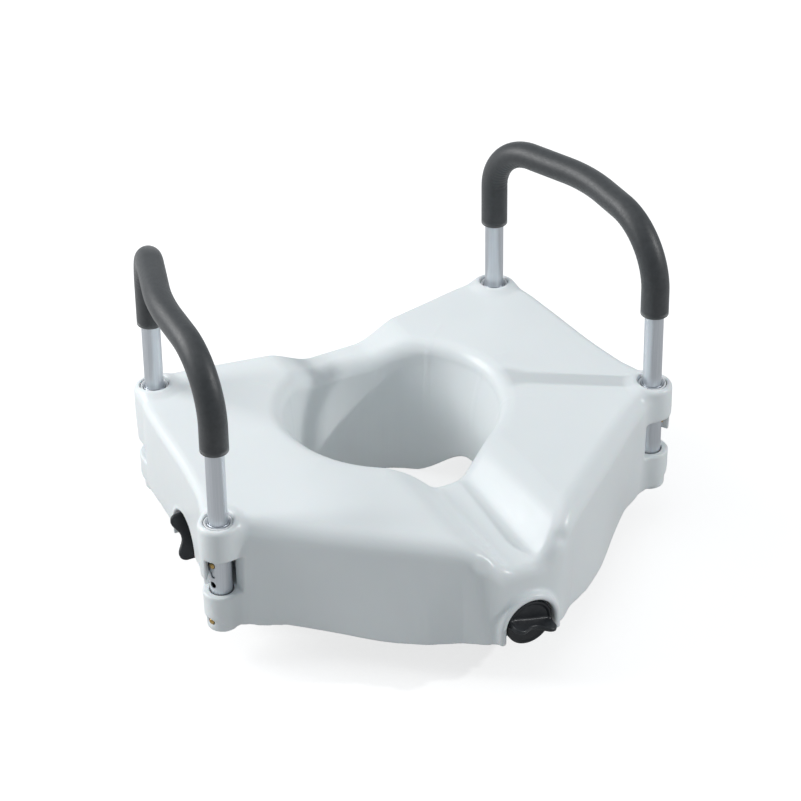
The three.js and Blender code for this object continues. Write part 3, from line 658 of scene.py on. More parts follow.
def shell_field(x, y, z):
    """The moulded shell. Only the right half is sampled: the left half mirrors it."""
    flat_x, flat_y = np.broadcast_arrays(x[:, :, 0], y[:, :, 0])
    top_line, foot_line = closed_outline(0), closed_outline(1)
    from_top, place = distance_to_outline(flat_x, flat_y, top_line[:, :2])
    from_foot, _ = distance_to_outline(flat_x, flat_y, foot_line[:, :2])
    index = place.astype(int) % len(top_line)
    foot_height = blurred(top_line[index, 2], 4)[:, :, None]
    roll = blurred(top_line[index, 3], 8)[:, :, None]
    height = seat_height(flat_x, flat_y)
    rise_x, rise_y = np.gradient(height, SHELL_CELL)
    tilt = np.sqrt(1 + rise_x**2 + rise_y**2)[:, :, None]
    height = height[:, :, None]

    wall_high = height - roll
    share = np.clip((wall_high - z) / (wall_high - foot_height), 0, SKIRT["past_foot"]) ** SKIRT["bend"]
    wall = from_top[:, :, None] * (1 - share) + from_foot[:, :, None] * share
    top = (z - height) / tilt
    body = rounded_and(wall, top, roll)
    right_legs = [leg for leg in LEGS if leg.side > 0]
    for leg in right_legs:
        boss = np.hypot(x - leg.x, y - leg.y) - boss_radius(z)
        body = rounded_or(body, rounded_and(boss, top, BOSS["roll"]), BOSS_FILLET)
    place = DIMPLE["place"]
    from_dimple = (x - place[0]) ** 2 + (y - place[1]) ** 2 + (z - place[2]) ** 2
    body = body + DIMPLE["depth"] * np.exp(-from_dimple / DIMPLE["radius"] ** 2)
    body = np.maximum(body, np.maximum(x - SHELL_HIGH[0], y - SHELL_HIGH[1]))
    throat = evened(throat_field(x, y, z), SHELL_CELL)
    body = rounded_and(body, throat, BRIM["roll"])

    turn = np.arctan2(flat_y - OPENING["y"], flat_x)
    near_guard = np.hypot(flat_x, flat_y - OPENING["y"]) < OPENING["radius"] + 3 * WALL
    bottom = np.where(near_guard, guard_bottom(turn), foot_height[:, :, 0])[:, :, None]
    shell = rounded_and(body, -(evened(body, SHELL_CELL) + WALL), 0.5)
    shell = rounded_and(shell, bottom - z, 1.6)

    for leg in right_legs:
        around = np.hypot(x - leg.x, y - leg.y)
        post = rounded_and(around - boss_radius(z), BOSS["bottom"] - z, BOSS["roll"])
        shell = rounded_or(shell, np.maximum(post, body), 2)
        shell = np.minimum(shell, np.maximum(window_backing(leg, x, y, z), body))
        stub = rounded_and(around - STUB["radius"], slab(z, STUB["bottom"], SEAT_TOP / 2), STUB["roll"])
        shell = rounded_or(shell, stub, STUB["roll"])
    shell = rounded_or(shell, np.maximum(web_and_ribs(x, y, z), body + 1), 2)
    for clamp in CLAMPS[:2]:
        shell = rounded_or(shell, niche_rim(clamp, x, y, z), clamp.rim["fillet"])
        shell = rounded_or(shell, np.maximum(clamp_inside(clamp, x, y, z), body + 1), 1.5)
        shell = without(shell, clamp_cut(clamp, x, y, z), NICHE["edge"])
    for leg in right_legs:
        shell = without(shell, window_cut(leg, x, y, z), 1.8)
        shell = without(shell, socket_cuts(leg, x, y, z), 0.6)
    return shell


def make_shell():
    margin = 3 * SHELL_CELL
    low, high = [0, *(SHELL_LOW[1:] - margin)], SHELL_HIGH + margin
    shell = field_object("seat_shell_moulding", shell_field, low, high, SHELL_CELL, SHELL_FACES, mirror=True)
    return stands_for(shell, "seat_shell", white_plastic())


# ---------------------------------------------------------------- round pieces


def grid_faces(rows, columns, closed_rows):
    """Quads of a grid whose columns close on themselves, and its rows too where asked."""
    faces = []
    for i in range(rows if closed_rows else rows - 1):
        for j in range(columns):
            a, b = i * columns, (i + 1) % rows * columns
            k = (j + 1) % columns
            faces.append((a + j, a + k, b + k, b + j))
    return faces


def lathed(name, profile, sides=64):
    """A closed profile of (radius, height) points turned round the Z axis."""
    turns = np.arange(sides) / sides * 2 * math.pi
    points = [(r * math.cos(t), r * math.sin(t), h) for r, h in profile for t in turns]
    return new_object(name, points, grid_faces(len(profile), sides, True))


def rounded_profile(corners, radius, steps=4):
    """A closed outline with each corner turned into a small arc."""
    corners = [np.array(c, float) for c in corners]
    points = []
    for i, corner in enumerate(corners):
        before, after = corners[i - 1] - corner, corners[(i + 1) % len(corners)] - corner
        reach = min(radius, 0.45 * np.linalg.norm(before), 0.45 * np.linalg.norm(after))
        start = corner + before / np.linalg.norm(before) * reach
        finish = corner + after / np.linalg.norm(after) * reach
        for step in range(steps + 1):
            t = step / steps
            points.append((1 - t) ** 2 * start + 2 * t * (1 - t) * corner + t * t * finish)
    return points


def drilled(obj, centre, direction):
    """Cuts one button hole from centre outward."""
    bpy.ops.mesh.primitive_cylinder_add(vertices=32, radius=HOLE_RADIUS * MM, depth=DRILL_REACH * MM)
    drill = bpy.context.object
    direction = Vector(direction).normalized()
    drill.rotation_mode = "QUATERNION"
    drill.rotation_quaternion = direction.to_track_quat("Z", "Y")
    drill.location = (Vector(centre) + direction * DRILL_REACH / 2) * MM
    cut = obj.modifiers.new("hole", "BOOLEAN")
    cut.object = drill
    cut.solver = "EXACT"
    apply_modifiers(obj)
    bpy.data.objects.remove(drill)
    return obj


def sharpened(obj, angle=35):
    """Smooth shading that keeps real edges sharp."""
    obj.data.set_sharp_from_angle(angle=math.radians(angle))
    return obj


# ---------------------------------------------------------------- arms and sleeves

def leg_named(name):
    return next(leg for leg in LEGS if leg.name == name)


class ArmPath:
    """The arm's centre line: up from the rear socket, bowed along the top, down to the front one."""

    def __init__(self, hand):
        rear, front = leg_named(f"{hand}_rear"), leg_named(f"{hand}_front")
        foot = np.array([rear.x, rear.y, 0])
        along = np.array([front.x, front.y, 0]) - foot
        outward = np.array([-along[1], along[0], 0]) / np.linalg.norm(along) * rear.side
        middle = foot + along * ARM["middle_along"] / np.linalg.norm(along) + outward * ARM["bow"]
        up = np.array([0, 0, 1.0])
        corners = [
            foot + up * TUBE["bottom"],
            foot + up * (SEAT_TOP + ARM["rear"]),
            middle + up * (SEAT_TOP + ARM["middle"]),
            foot + along + up * (SEAT_TOP + ARM["front"]),
            foot + along + up * TUBE["bottom"],
        ]
        self.points = self.rounded(corners, ARM_BENDS)
        steps = np.linalg.norm(np.diff(self.points, axis=0), axis=1)
        self.places = np.concatenate([[0], np.cumsum(steps)])
        self.length = self.places[-1]

    @staticmethod
    def rounded(corners, bends):
        points = [corners[0]]
        for corner, before, after, radius in zip(corners[1:-1], corners, corners[2:], bends):
            back = (before - corner) / np.linalg.norm(before - corner)
            ahead = (after - corner) / np.linalg.norm(after - corner)
            bend = math.pi - math.acos(np.clip(back @ ahead, -1, 1))
            reach = radius * math.tan(bend / 2)
            handle = reach - 4 / 3 * math.tan(bend / 4) * radius
            p = [corner + back * far for far in (reach, handle)]
            p += [corner + ahead * far for far in (handle, reach)]
            for t in np.linspace(0, 1, 33):
                weights = [(1 - t) ** 3, 3 * t * (1 - t) ** 2, 3 * t * t * (1 - t), t**3]
                points.append(sum(w * q for w, q in zip(weights, p)))
        points.append(corners[-1])
        return np.array(points)

    def at(self, place):
        return np.array([np.interp(place, self.places, self.points[:, k]) for k in range(3)]).T

    def frames(self, places):
        """Centre, two directions across the path and the inward bend at each place."""
        ahead = self.at(places + 1) - self.at(places - 1)
        ahead /= np.linalg.norm(ahead, axis=1, keepdims=True)
        bend = self.at(places + 6) + self.at(places - 6) - 2 * self.at(places)
        side = np.cross(ahead[0], [0, 1, 0])
        sides = []
        for direction in ahead:
            side = side - direction * (side @ direction)
            side = side / np.linalg.norm(side)
            sides.append(side)
        sides = np.array(sides)
        return self.at(places), sides, np.cross(ahead, sides), bend / 36


def swept(name, path, places, radii, sides, dent=None):
    """A closed skin round a path: one ring for each place and radius, the last joined to the first."""
    places, radii = np.asarray(places, float), np.asarray(radii, float)
    order = np.argsort(places, kind="stable")
    centre, side, other, bend = (np.empty((len(places), 3)) for _ in range(4))
    centre[order], side[order], other[order], bend[order] = path.frames(places[order])
    points = []
    for j in range(sides):
        turn = 2 * math.pi * j / sides
        across = side * math.cos(turn) + other * math.sin(turn)
        reach = radii.copy()
        if dent is not None:
            reach -= dent(places, radii, (across * bend).sum(axis=1))
        points.append(centre + across * reach[:, None])
    points = np.stack(points, axis=1).reshape(-1, 3)
    return new_object(name, points, grid_faces(len(places), sides, True))


def make_arm_tube(hand):
    path = ArmPath(hand)
    length = path.length
    run = np.concatenate([[0, 0.6], np.linspace(1.5, length - 1.5, 190), [length - 0.6, length]])
    outer = np.full(len(run), TUBE["outer"])
    outer[0] = outer[-1] = TUBE["outer"] - TUBE["chamfer"]
    places = np.concatenate([run, run[::-1]])
    radii = np.concatenate([outer, np.full(len(run), TUBE["inner"])])
    tube = swept(f"{hand}_arm_tube_drawn", path, places, radii, 48)
    for end in ("rear", "front"):
        leg = leg_named(f"{hand}_{end}")
        turn = leg.direction(BUTTON_TURN)
        drilled(tube, (leg.x, leg.y, HOLE_HEIGHTS[0]), (math.cos(turn), math.sin(turn), 0))
    return stands_for(sharpened(tube), f"{hand}_arm_tube", tube_aluminium())


def make_arm_grip(hand):
    """Foam tube stretched over the bent arm. Its ends are sunk, and its tighter bends creased."""
    path = ArmPath(hand)
    start = GRIP["rear_end"] - TUBE["bottom"]
    finish = path.length - (GRIP["front_end"] - TUBE["bottom"])
    sunk = GRIP["sunk"] * (1 - np.sin(np.linspace(0, math.pi / 2, 7)))
    run = np.linspace(start + GRIP["sunk"], finish - GRIP["sunk"], 260)
    along = np.clip((run - start) / (finish - start), 0, 1)
    radius = GRIP["top"] + (GRIP["front"] - GRIP["top"]) * smooth_step(along, 0.55, 1.0)
    bore = np.concatenate([[finish - 0.4], np.linspace(finish - 2, start + 2, 60)])
    places = np.concatenate([[start + 0.4], start + sunk, run[1:-1], finish - sunk[::-1], bore])
    outer = np.concatenate([radius[0] - sunk, radius[1:-1], radius[-1] - sunk[::-1]])
    radii = np.concatenate([[GRIP["inner"]], outer, np.full(len(bore), GRIP["inner"])])

    def creases(place, ring, inward):
        tight = np.clip(inward * CREASE["bend"] - CREASE["slack"], 0, 1)
        sway = CREASE["sway"] * np.sin(place / CREASE["sway_length"])
        wave = 0.5 + 0.5 * np.cos(2 * math.pi * place / CREASE["spacing"] + sway)
        return np.where(ring > GRIP["inner"] + 1, tight * wave * CREASE["depth"], 0)

    grip = swept(f"{hand}_arm_grip_foam", path, places, radii, 64, creases)
    return stands_for(grip, f"{hand}_arm_grip", grip_foam())


def leg_piece(leg, node, obj, material):
    """Turns a piece drawn round the Z axis to its leg's button, and stands it in the leg."""
    moved(obj, lambda points: leg.placed(points, BUTTON_TURN))
    return stands_for(obj, f"{leg.name}_{node}", material)


def make_sleeve(leg):
    top = node_box(f"{leg.name}_sleeve")[1][2]
    corners = [
        (SLEEVE["inner"], SLEEVE["bottom"]), (SLEEVE["outer"], SLEEVE["bottom"]),
        (SLEEVE["outer"], top), (SLEEVE["inner"], top),
    ]
    sleeve = lathed(f"{leg.name}_sleeve_drawn", rounded_profile(corners, SLEEVE["edge"], 3))
    for height in [*HOLE_HEIGHTS, LOCK_HEIGHT]:
        drilled(sleeve, (0, 0, height), (1, 0, 0))
    leg_piece(leg, "sleeve", sharpened(sleeve), tube_aluminium())


def make_collar(leg):
    low, high, _ = node_box(f"{leg.name}_collar")
    outer, bore = (high[0] - low[0]) / 2, COLLAR["bore"]
    corners = [
        (bore, low[2]), (outer, low[2]), (outer, high[2] - COLLAR["crown"]),
        (outer - COLLAR["bevel"], high[2]), (bore + COLLAR["lead_in"], high[2]),
        (bore, high[2] - COLLAR["lead_depth"]),
    ]
    collar = lathed(f"{leg.name}_collar_ring", rounded_profile(corners, COLLAR["edge"]))
    leg_piece(leg, "collar", collar, collar_plastic())


def make_end_plug(leg):
    low, high, _ = node_box(f"{leg.name}_end_plug")
    step, floor = SLEEVE["bottom"] - END_PLUG["gap"], low[2] + END_PLUG["floor"]
    flange, cup = SLEEVE["outer"] - END_PLUG["inset"], END_PLUG["cup"]
    corners = [
        (0.01, low[2]), (flange, low[2]), (flange, step), (SLEEVE["inner"] - END_PLUG["play"], step),
        (SLEEVE["inner"] - END_PLUG["taper"], high[2]), (cup, high[2]), (cup, floor), (0.01, floor),
    ]
    plug = lathed(f"{leg.name}_end_plug_moulding", rounded_profile(corners, END_PLUG["edge"]))
    leg_piece(leg, "end_plug", plug, grey_plastic())


def segment_field(x, z, start, finish):
    """Distance in the XZ plane to a straight line between two points."""
    dx, dz = finish[0] - start[0], finish[1] - start[1]
    share = np.clip(((x - start[0]) * dx + (z - start[1]) * dz) / (dx * dx + dz * dz), 0, 1)
    return np.hypot(x - start[0] - share * dx, z - start[1] - share * dz)


def clip_field(spec, x, y, z):
    """A V-shaped spring leaf with a domed button on its outer leg."""
    front, back = spec["front"] - CLIP["leaf"] / 2, spec["back"] + CLIP["leaf"] / 2
    top = spec["z"] + spec["rise"]
    knots = [
        (front, spec["z"] - CLIP["front_foot"]), (front, top - 1), (front - 1.2, top + 0.6),
        (back, spec["z"] - CLIP["back_foot"]),
    ]
    leaf = np.minimum.reduce([segment_field(x, z, a, b) for a, b in zip(knots, knots[1:])])
    leaf = rounded_and(leaf - CLIP["leaf"] / 2, np.abs(y) - CLIP["width"] / 2, 0.3)
    around = np.hypot(y, z - spec["z"])
    dome = x - spec["tip"] + CLIP["dome"] * (around / CLIP["button"]) ** 2
    button = rounded_and(around - CLIP["button"], np.maximum(dome, front - x), 0.5)
    return rounded_or(leaf, button, 0.4)


def make_clip(leg, kind):
    spec = CLIPS[kind]
    low = [spec["back"] - 2, -5, spec["z"] - 8]
    high = [spec["tip"] + 2, 5, spec["z"] + spec["rise"] + 3]
    clip = field_object(f"{leg.name}_{kind}_clip_leaf", partial(clip_field, spec), low, high, 0.5, 6000)
    leg_piece(leg, f"{kind}_clip", clip, button_brass())


# ---------------------------------------------------------------- clamps

def box_field(x, y, z, low, high, roll):
    field = rounded_and(slab(x, low[0], high[0]), slab(y, low[1], high[1]), roll)
    return rounded_and(field, slab(z, low[2], high[2]), roll)


def knob_field(x, y, z):
    """A round knob whose wing has two lobes and a waist between them."""
    around = np.hypot(y, z)
    disc = rounded_and(around - KNOB["radius"], slab(x, KNOB["back"], KNOB["face"]), 2)
    dish = rounded_and(around - KNOB["radius"] + KNOB["rim"], KNOB["face"] - KNOB["dish"] - x, KNOB["dish"])
    disc = without(disc, dish, 1)
    lobe = smooth_step(np.abs(z), 1, WING["lobe"])
    crest = KNOB["face"] + WING["waist"] + (WING["tip"] - WING["waist"]) * lobe
    crest = crest - WING["droop"] * np.maximum(np.abs(z) - WING["lobe"], 0) ** 2
    half = WING["thick"] / 2 - WING["taper"] * np.maximum(x - KNOB["face"], 0) + WING["flare"] * lobe
    wing = rounded_and(np.abs(y) - half, rounded_and(x - crest, np.abs(z) - KNOB["radius"] + 0.3, 4), 1.6)
    wing = np.maximum(wing, KNOB["face"] - 4 - x)
    knob = rounded_or(disc, wing, 2.5)
    bore = np.maximum(around - SCREW["radius"] - 0.3, x - KNOB["bore_end"])
    return without(knob, bore, 0.4)


def jaw_field(x, y, z):
    """The jaw's block, with two slots in its face and a six-sided pocket for the nut."""
    half, face = JAW["half"], JAW["face"]
    jaw = box_field(x, y, z, [JAW["back"], -half, -half], [face, half, half], 2)
    low = [face - JAW_SLOT["depth"], -JAW_SLOT["half"], -JAW_SLOT["length"]]
    high = [face + 5, JAW_SLOT["half"], JAW_SLOT["length"]]
    for side in (-1, 1):
        jaw = without(jaw, box_field(x, y - side * JAW_SLOT["place"], z, low, high, 0.8), 0.5)
    jaw = without(jaw, np.hypot(y, z) - SCREW["radius"] - 0.4, 0.5)
    pocket = np.maximum(hexagon(y, z) - JAW["pocket"], x - JAW["back"] - JAW["pocket_depth"])
    return without(jaw, pocket, 0.4)


def hexagon(y, z):
    """Distance across the flats of a hexagon with a corner on Y, from its centre."""
    flats = [np.abs(y * math.sin(math.radians(a)) + z * math.cos(math.radians(a))) for a in (0, 60, 120)]
    return np.maximum.reduce(np.broadcast_arrays(*flats))


def nut_field(x, y, z):
    """A six-sided nut with its corners bevelled at both ends."""
    start, half_thick = JAW["back"] + NUT["start"], NUT["thick"] / 2
    around = np.hypot(y, z)
    nut = rounded_and(hexagon(y, z) - NUT["half"], slab(x, start, start + NUT["thick"]), 0.3)
    cone = around + np.abs(x - start - half_thick) * NUT["bevel"] - NUT["corner"]
    nut = rounded_and(nut, cone, 0.3)
    return without(nut, around - SCREW["radius"] - 0.5, 0.4)


def jaw_pad_field(x, y, z):
    """A rubber pad with ribs on the face that meets the bowl."""
    finish = JAW["back"] - JAW_PAD["gap"]
    half = JAW["half"]
    pad = box_field(x, y, z, [finish - JAW_PAD["thick"], -half, -half], [finish, half, half], 1.2)
    for k in range(-JAW_PAD["grooves"], JAW_PAD["grooves"] + 1):
        groove = np.hypot(x - finish + JAW_PAD["thick"], z - GROOVE_SPACING * k) - JAW_PAD["groove"]
        pad = without(pad, groove, 0.5)
    return without(pad, np.hypot(y, z) - SCREW["radius"] - 0.6, 0.5)


def ring_field(x, y, z):
    """A spring ring with a gap, snapped round the screw."""
    around = np.hypot(y, z)
    ring = slab(around, SCREW["radius"] + 0.15, RING["outer"])
    ring = rounded_and(ring, slab(x, RING["back"], RING["face"]), 0.3)
    gap = np.maximum(np.abs(y) - RING["gap"], -z)
    return without(ring, gap, 0.3)


def screw_mesh(name):
    """A trapezoid thread wound round a shaft that lies on the X axis."""
    start, finish = SCREW["head"] - SCREW["length"], SCREW["head"]
    xs = np.arange(start, finish + 1e-6, SCREW_STEP)[:, None]
    share = np.arange(SCREW_SIDES) / SCREW_SIDES
    wave = np.abs((xs / SCREW["lead"] - share) % 1 - 0.5) * 2
    groove = np.clip((wave - THREAD["crest"]) / THREAD["flank"], 0, 1)
    run_out = np.clip((finish - SCREW["plain"] - xs) / THREAD["run_out"], 0, 1)
    run_in = np.clip((xs - start) / THREAD["run_in"], 0, 1)
    radius = SCREW["radius"] - SCREW["depth"] * groove * run_out * run_in
    radius = radius - SCREW["tip"] * np.clip(1 - (xs - start) / 0.8, 0, 1)
    turn = 2 * math.pi * share
    along = np.broadcast_to(xs, radius.shape)
    points = np.stack([along, radius * np.cos(turn), radius * np.sin(turn)], axis=2).reshape(-1, 3)
    faces = grid_faces(len(xs), SCREW_SIDES, False)
    last = len(points) - SCREW_SIDES
    faces.append(tuple(range(SCREW_SIDES))[::-1])
    faces.append(tuple(range(last, len(points))))
    return new_object(name, points, [face[::-1] for face in faces])


def bush_mesh(name):
    """A round bush, turned to lie on the X axis."""
    inner, outer, back = SCREW["radius"] + 0.3, BUSH["outer"], BUSH["back"]
    corners = [(inner, back), (outer, back), (outer, -BUSH_RECESS), (inner, -BUSH_RECESS)]
    bush = lathed(name, rounded_profile(corners, BUSH["edge"]))
    return moved(bush, lambda points: points[:, [2, 1, 0]] * [1, -1, 1])


def clamp_piece(clamp, node, obj, material):
    moved(obj, clamp.placed)
    return stands_for(obj, f"{clamp.name}_{node}", material)


def turned(points, angle):
    """Points turned round the X axis."""
    x, y, z = points.T
    c, s = math.cos(angle), math.sin(angle)
    return np.stack([x, y * c - z * s, y * s + z * c], axis=1)


def make_clamp(clamp):
    """The clamp's seven pieces. Each knob stops with its wing at a different turn."""
    name, back = clamp.name, JAW["back"]
    # Each meshed piece: the last word of its name, its field, the ends of its box along X, the
    # box's half width, the cell, the triangles kept and the material.
    meshed = {
        "knob": ("moulding", knob_field, (-1, 27), 28, 0.9, 16000, black_plastic),
        "retaining_ring": ("spring", ring_field, (-16, -10), 10, 0.45, 4000, zinc_steel),
        "jaw": ("moulding", jaw_field, (back - 3, -14), 20, 0.9, 9000, grey_plastic),
        "jaw_nut": ("cut", nut_field, (back - 1, back + 9), 9, 0.5, 4000, zinc_steel),
        "jaw_pad": ("ribbed", jaw_pad_field, (back - 8, back + 2), 20, 0.8, 9000, pad_rubber),
    }
    for node, (word, field, ends, half, cell, faces, material) in meshed.items():
        low, high = [ends[0], -half, -half], [ends[1], half, half]
        piece = field_object(f"{name}_{node}_{word}", field, low, high, cell, faces)
        if node == "knob":
            moved(piece, lambda points: turned(points, clamp.wing_turn))
        clamp_piece(clamp, node, piece, material())
    clamp_piece(clamp, "clamp_screw", sharpened(screw_mesh(f"{name}_clamp_screw_thread"), 50), zinc_steel())
    clamp_piece(clamp, "bush", bush_mesh(f"{name}_bush_moulding"), grey_plastic())


def make_rim_pad(number):
    """A rubber block under the web, with grooves across its foot."""
    low, high, middle = node_box(f"rim_pad_{number}")
    turn = math.atan2(middle[1] - OPENING["y"], middle[0])
    reach = math.hypot(middle[0], middle[1] - OPENING["y"])
    half_x, half_y = RIM_PAD["half_x"], RIM_PAD["half_y"]

    def pad_field(x, y, z):
        pad = box_field(x, y, z, [-half_x, -half_y, low[2]], [half_x, half_y, high[2]], 1)
        for k in range(-RIM_PAD["grooves"], RIM_PAD["grooves"] + 1):
            pad = without(pad, np.hypot(x - GROOVE_SPACING * k, z - low[2]) - RIM_PAD["groove"], 0.4)
        return pad

    def placed(points):
        x, y, z = points.T
        x = x + reach
        c, s = math.cos(turn), math.sin(turn)
        return np.stack([x * c - y * s, x * s + y * c + OPENING["y"], z], axis=1)

    first, last = [-half_x - 3, -half_y - 3, low[2] - 3], [half_x + 3, half_y + 3, high[2] + 3]
    pad = field_object(f"rim_pad_{number}_ribbed", pad_field, first, last, 0.8, 6000)
    moved(pad, placed)
    return stands_for(pad, f"rim_pad_{number}", pad_rubber())


# ---------------------------------------------------------------- materials

# The part of a noise texture's 0 to 1 that most of its values fall in.
NOISE_RANGE = (0.3, 0.7)


class Nodes:
    """A material's node tree, with short calls for adding and joining nodes."""

    def __init__(self, name):
        self.material = bpy.data.materials.new(name)
        self.material.use_nodes = True
        self.tree = self.material.node_tree
        self.shader = self.tree.nodes["Principled BSDF"]
        self.place = self.add("ShaderNodeTexCoord").outputs["Object"]

    def add(self, kind, **settings):
        node = self.tree.nodes.new(kind)
        for key, value in settings.items():
            setattr(node, key, value)
        return node

    def fill(self, node, **values):
        """Sets inputs of a node by name, with _ for a space."""
        for key, value in values.items():
            node.inputs[key.replace("_", " ")].default_value = value

    def join(self, source, target):
        self.tree.links.new(source, target)

    def noise(self, scale, detail=2.0, roughness=0.5, stretch=None):
        texture = self.add("ShaderNodeTexNoise")
        self.fill(texture, Scale=scale, Detail=detail, Roughness=roughness)
        place = self.place
        if stretch is not None:
            mapping = self.add("ShaderNodeMapping")
            self.fill(mapping, Scale=stretch)
            self.join(place, mapping.inputs["Vector"])
            place = mapping.outputs["Vector"]
        self.join(place, texture.inputs["Vector"])
        return texture.outputs["Fac"]

    def spread(self, value, low, high):
        """The value's middle range stretched to run from low to high."""
        mapped = self.add("ShaderNodeMapRange")
        self.fill(mapped, From_Min=NOISE_RANGE[0], From_Max=NOISE_RANGE[1], To_Min=low, To_Max=high)
        self.join(value, mapped.inputs["Value"])
        return mapped.outputs["Result"]

    def colour(self, value, dark, light):
        ramp = self.add("ShaderNodeValToRGB")
        for element, position, tone in zip(ramp.color_ramp.elements, NOISE_RANGE, (dark, light)):
            element.position = position
            element.color = (*tone, 1)
        self.join(value, ramp.inputs["Fac"])
        self.join(ramp.outputs["Color"], self.shader.inputs["Base Color"])
        return ramp.outputs["Color"]

    def painted_shade_in_gaps(self, colour, reach, dark):
        """Paints shade into the colour in gaps narrower than about reach, in millimetres, darker where the
        occlusion is higher.
        """
        gaps = self.add("ShaderNodeAmbientOcclusion", samples=8)
        self.fill(gaps, Distance=reach * MM)
        share = self.add("ShaderNodeMapRange", interpolation_type="SMOOTHSTEP")
        self.fill(share, From_Min=0.05, From_Max=0.45, To_Min=dark, To_Max=1)
        self.join(gaps.outputs["AO"], share.inputs["Value"])
        mixed = self.add("ShaderNodeMix", data_type="RGBA", blend_type="MULTIPLY")
        self.fill(mixed, Factor=1)
        self.join(colour, mixed.inputs[6])
        self.join(share.outputs["Result"], mixed.inputs[7])
        self.join(mixed.outputs[2], self.shader.inputs["Base Color"])

    def roughness(self, value, low, high):
        self.join(self.spread(value, low, high), self.shader.inputs["Roughness"])

    def bump(self, value, depth, below=None):
        """Raises the surface by up to depth, in millimetres."""
        bump = self.add("ShaderNodeBump")
        self.fill(bump, Strength=1, Distance=depth * MM)
        self.join(value, bump.inputs["Height"])
        if below is not None:
            self.join(below, bump.inputs["Normal"])
        self.join(bump.outputs["Normal"], self.shader.inputs["Normal"])
        return bump.outputs["Normal"]

    def finish(self, **values):
        self.fill(self.shader, **values)
        return self.material


MADE = {}


def once(make):
    """Makes a material on first use and shares it afterwards."""
    def shared():
        if make.__name__ not in MADE:
            MADE[make.__name__] = make()
        return MADE[make.__name__]
    return shared


@once
def white_plastic():
    """Satin white moulding: even, with a faint flow pattern, the mould's fine texture and painted shade in
    narrow gaps.
    """
    nodes = Nodes("white_plastic")
    tint = nodes.colour(nodes.noise(9, 3), (0.80, 0.838, 0.848), (0.825, 0.86, 0.87))
    # Painted shade: the colour is darkened in gaps narrower than about 6 mm.
    nodes.painted_shade_in_gaps(tint, 6, 0.25)
    nodes.roughness(nodes.noise(60, 4), 0.30, 0.38)
    nodes.bump(nodes.noise(1400, 2), 0.006, nodes.bump(nodes.noise(26, 2), 0.08))
    return nodes.finish(Specular_IOR_Level=0.45, Subsurface_Weight=0.06, Subsurface_Scale=0.004)


@once
def collar_plastic():
    nodes = Nodes("collar_plastic")
    nodes.colour(nodes.noise(60, 3), (0.76, 0.78, 0.79), (0.81, 0.82, 0.83))
    nodes.roughness(nodes.noise(300, 3), 0.32, 0.42)
    nodes.bump(nodes.noise(1800, 2), 0.008)
    return nodes.finish()


@once
def grey_plastic():
    nodes = Nodes("grey_plastic")
    nodes.colour(nodes.noise(90, 4), (0.20, 0.21, 0.22), (0.26, 0.27, 0.28))
    nodes.roughness(nodes.noise(300, 3), 0.42, 0.58)
    nodes.bump(nodes.noise(2200, 3), 0.02)
    return nodes.finish()


@once
def black_plastic():
    """Near-black moulding with a fine spark-eroded grain."""
    nodes = Nodes("black_plastic")
    nodes.colour(nodes.noise(70, 4), (0.013, 0.015, 0.018), (0.022, 0.025, 0.029))
    nodes.roughness(nodes.noise(350, 4), 0.34, 0.48)
    nodes.bump(nodes.noise(2600, 4, 0.65), 0.03)
    return nodes.finish()


@once
def tube_aluminium():
    """Satin anodised tube, drawn lengthwise, so its faint lines run up and down."""
    nodes = Nodes("tube_aluminium")
    lines = nodes.noise(1, 3, 0.6, stretch=(1300, 1300, 12))
    nodes.colour(lines, (0.62, 0.65, 0.69), (0.72, 0.75, 0.79))
    nodes.roughness(lines, 0.30, 0.42)
    nodes.bump(lines, 0.004)
    return nodes.finish(Metallic=0.85)


@once
def button_brass():
    nodes = Nodes("button_brass")
    nodes.colour(nodes.noise(500, 4), (0.50, 0.33, 0.12), (0.66, 0.46, 0.19))
    nodes.roughness(nodes.noise(900, 3), 0.20, 0.36)
    nodes.bump(nodes.noise(2500, 2), 0.01)
    return nodes.finish(Metallic=1.0)


@once
def zinc_steel():
    nodes = Nodes("zinc_steel")
    nodes.colour(nodes.noise(260, 5, 0.7), (0.42, 0.43, 0.45), (0.58, 0.59, 0.61))
    nodes.roughness(nodes.noise(400, 4), 0.24, 0.42)
    nodes.bump(nodes.noise(1500, 3), 0.01)
    return nodes.finish(Metallic=1.0)


@once
def grip_foam():
    """Closed-cell foam with a smooth moulded skin: fine pores, and a soft sheen."""
    nodes = Nodes("grip_foam")
    nodes.colour(nodes.noise(140, 5, 0.6), (0.030, 0.033, 0.036), (0.044, 0.048, 0.052))
    nodes.roughness(nodes.noise(500, 4), 0.40, 0.52)
    nodes.bump(nodes.noise(2400, 3, 0.6), 0.09, nodes.bump(nodes.noise(240, 2), 0.10))
    return nodes.finish(Sheen_Weight=0.30, Sheen_Roughness=0.4, Specular_IOR_Level=0.6)


@once
def pad_rubber():
    nodes = Nodes("pad_rubber")
    nodes.colour(nodes.noise(200, 4), (0.020, 0.021, 0.022), (0.035, 0.036, 0.037))
    nodes.roughness(nodes.noise(500, 3), 0.62, 0.80)
    nodes.bump(nodes.noise(2600, 4, 0.7), 0.06)
    return nodes.finish()


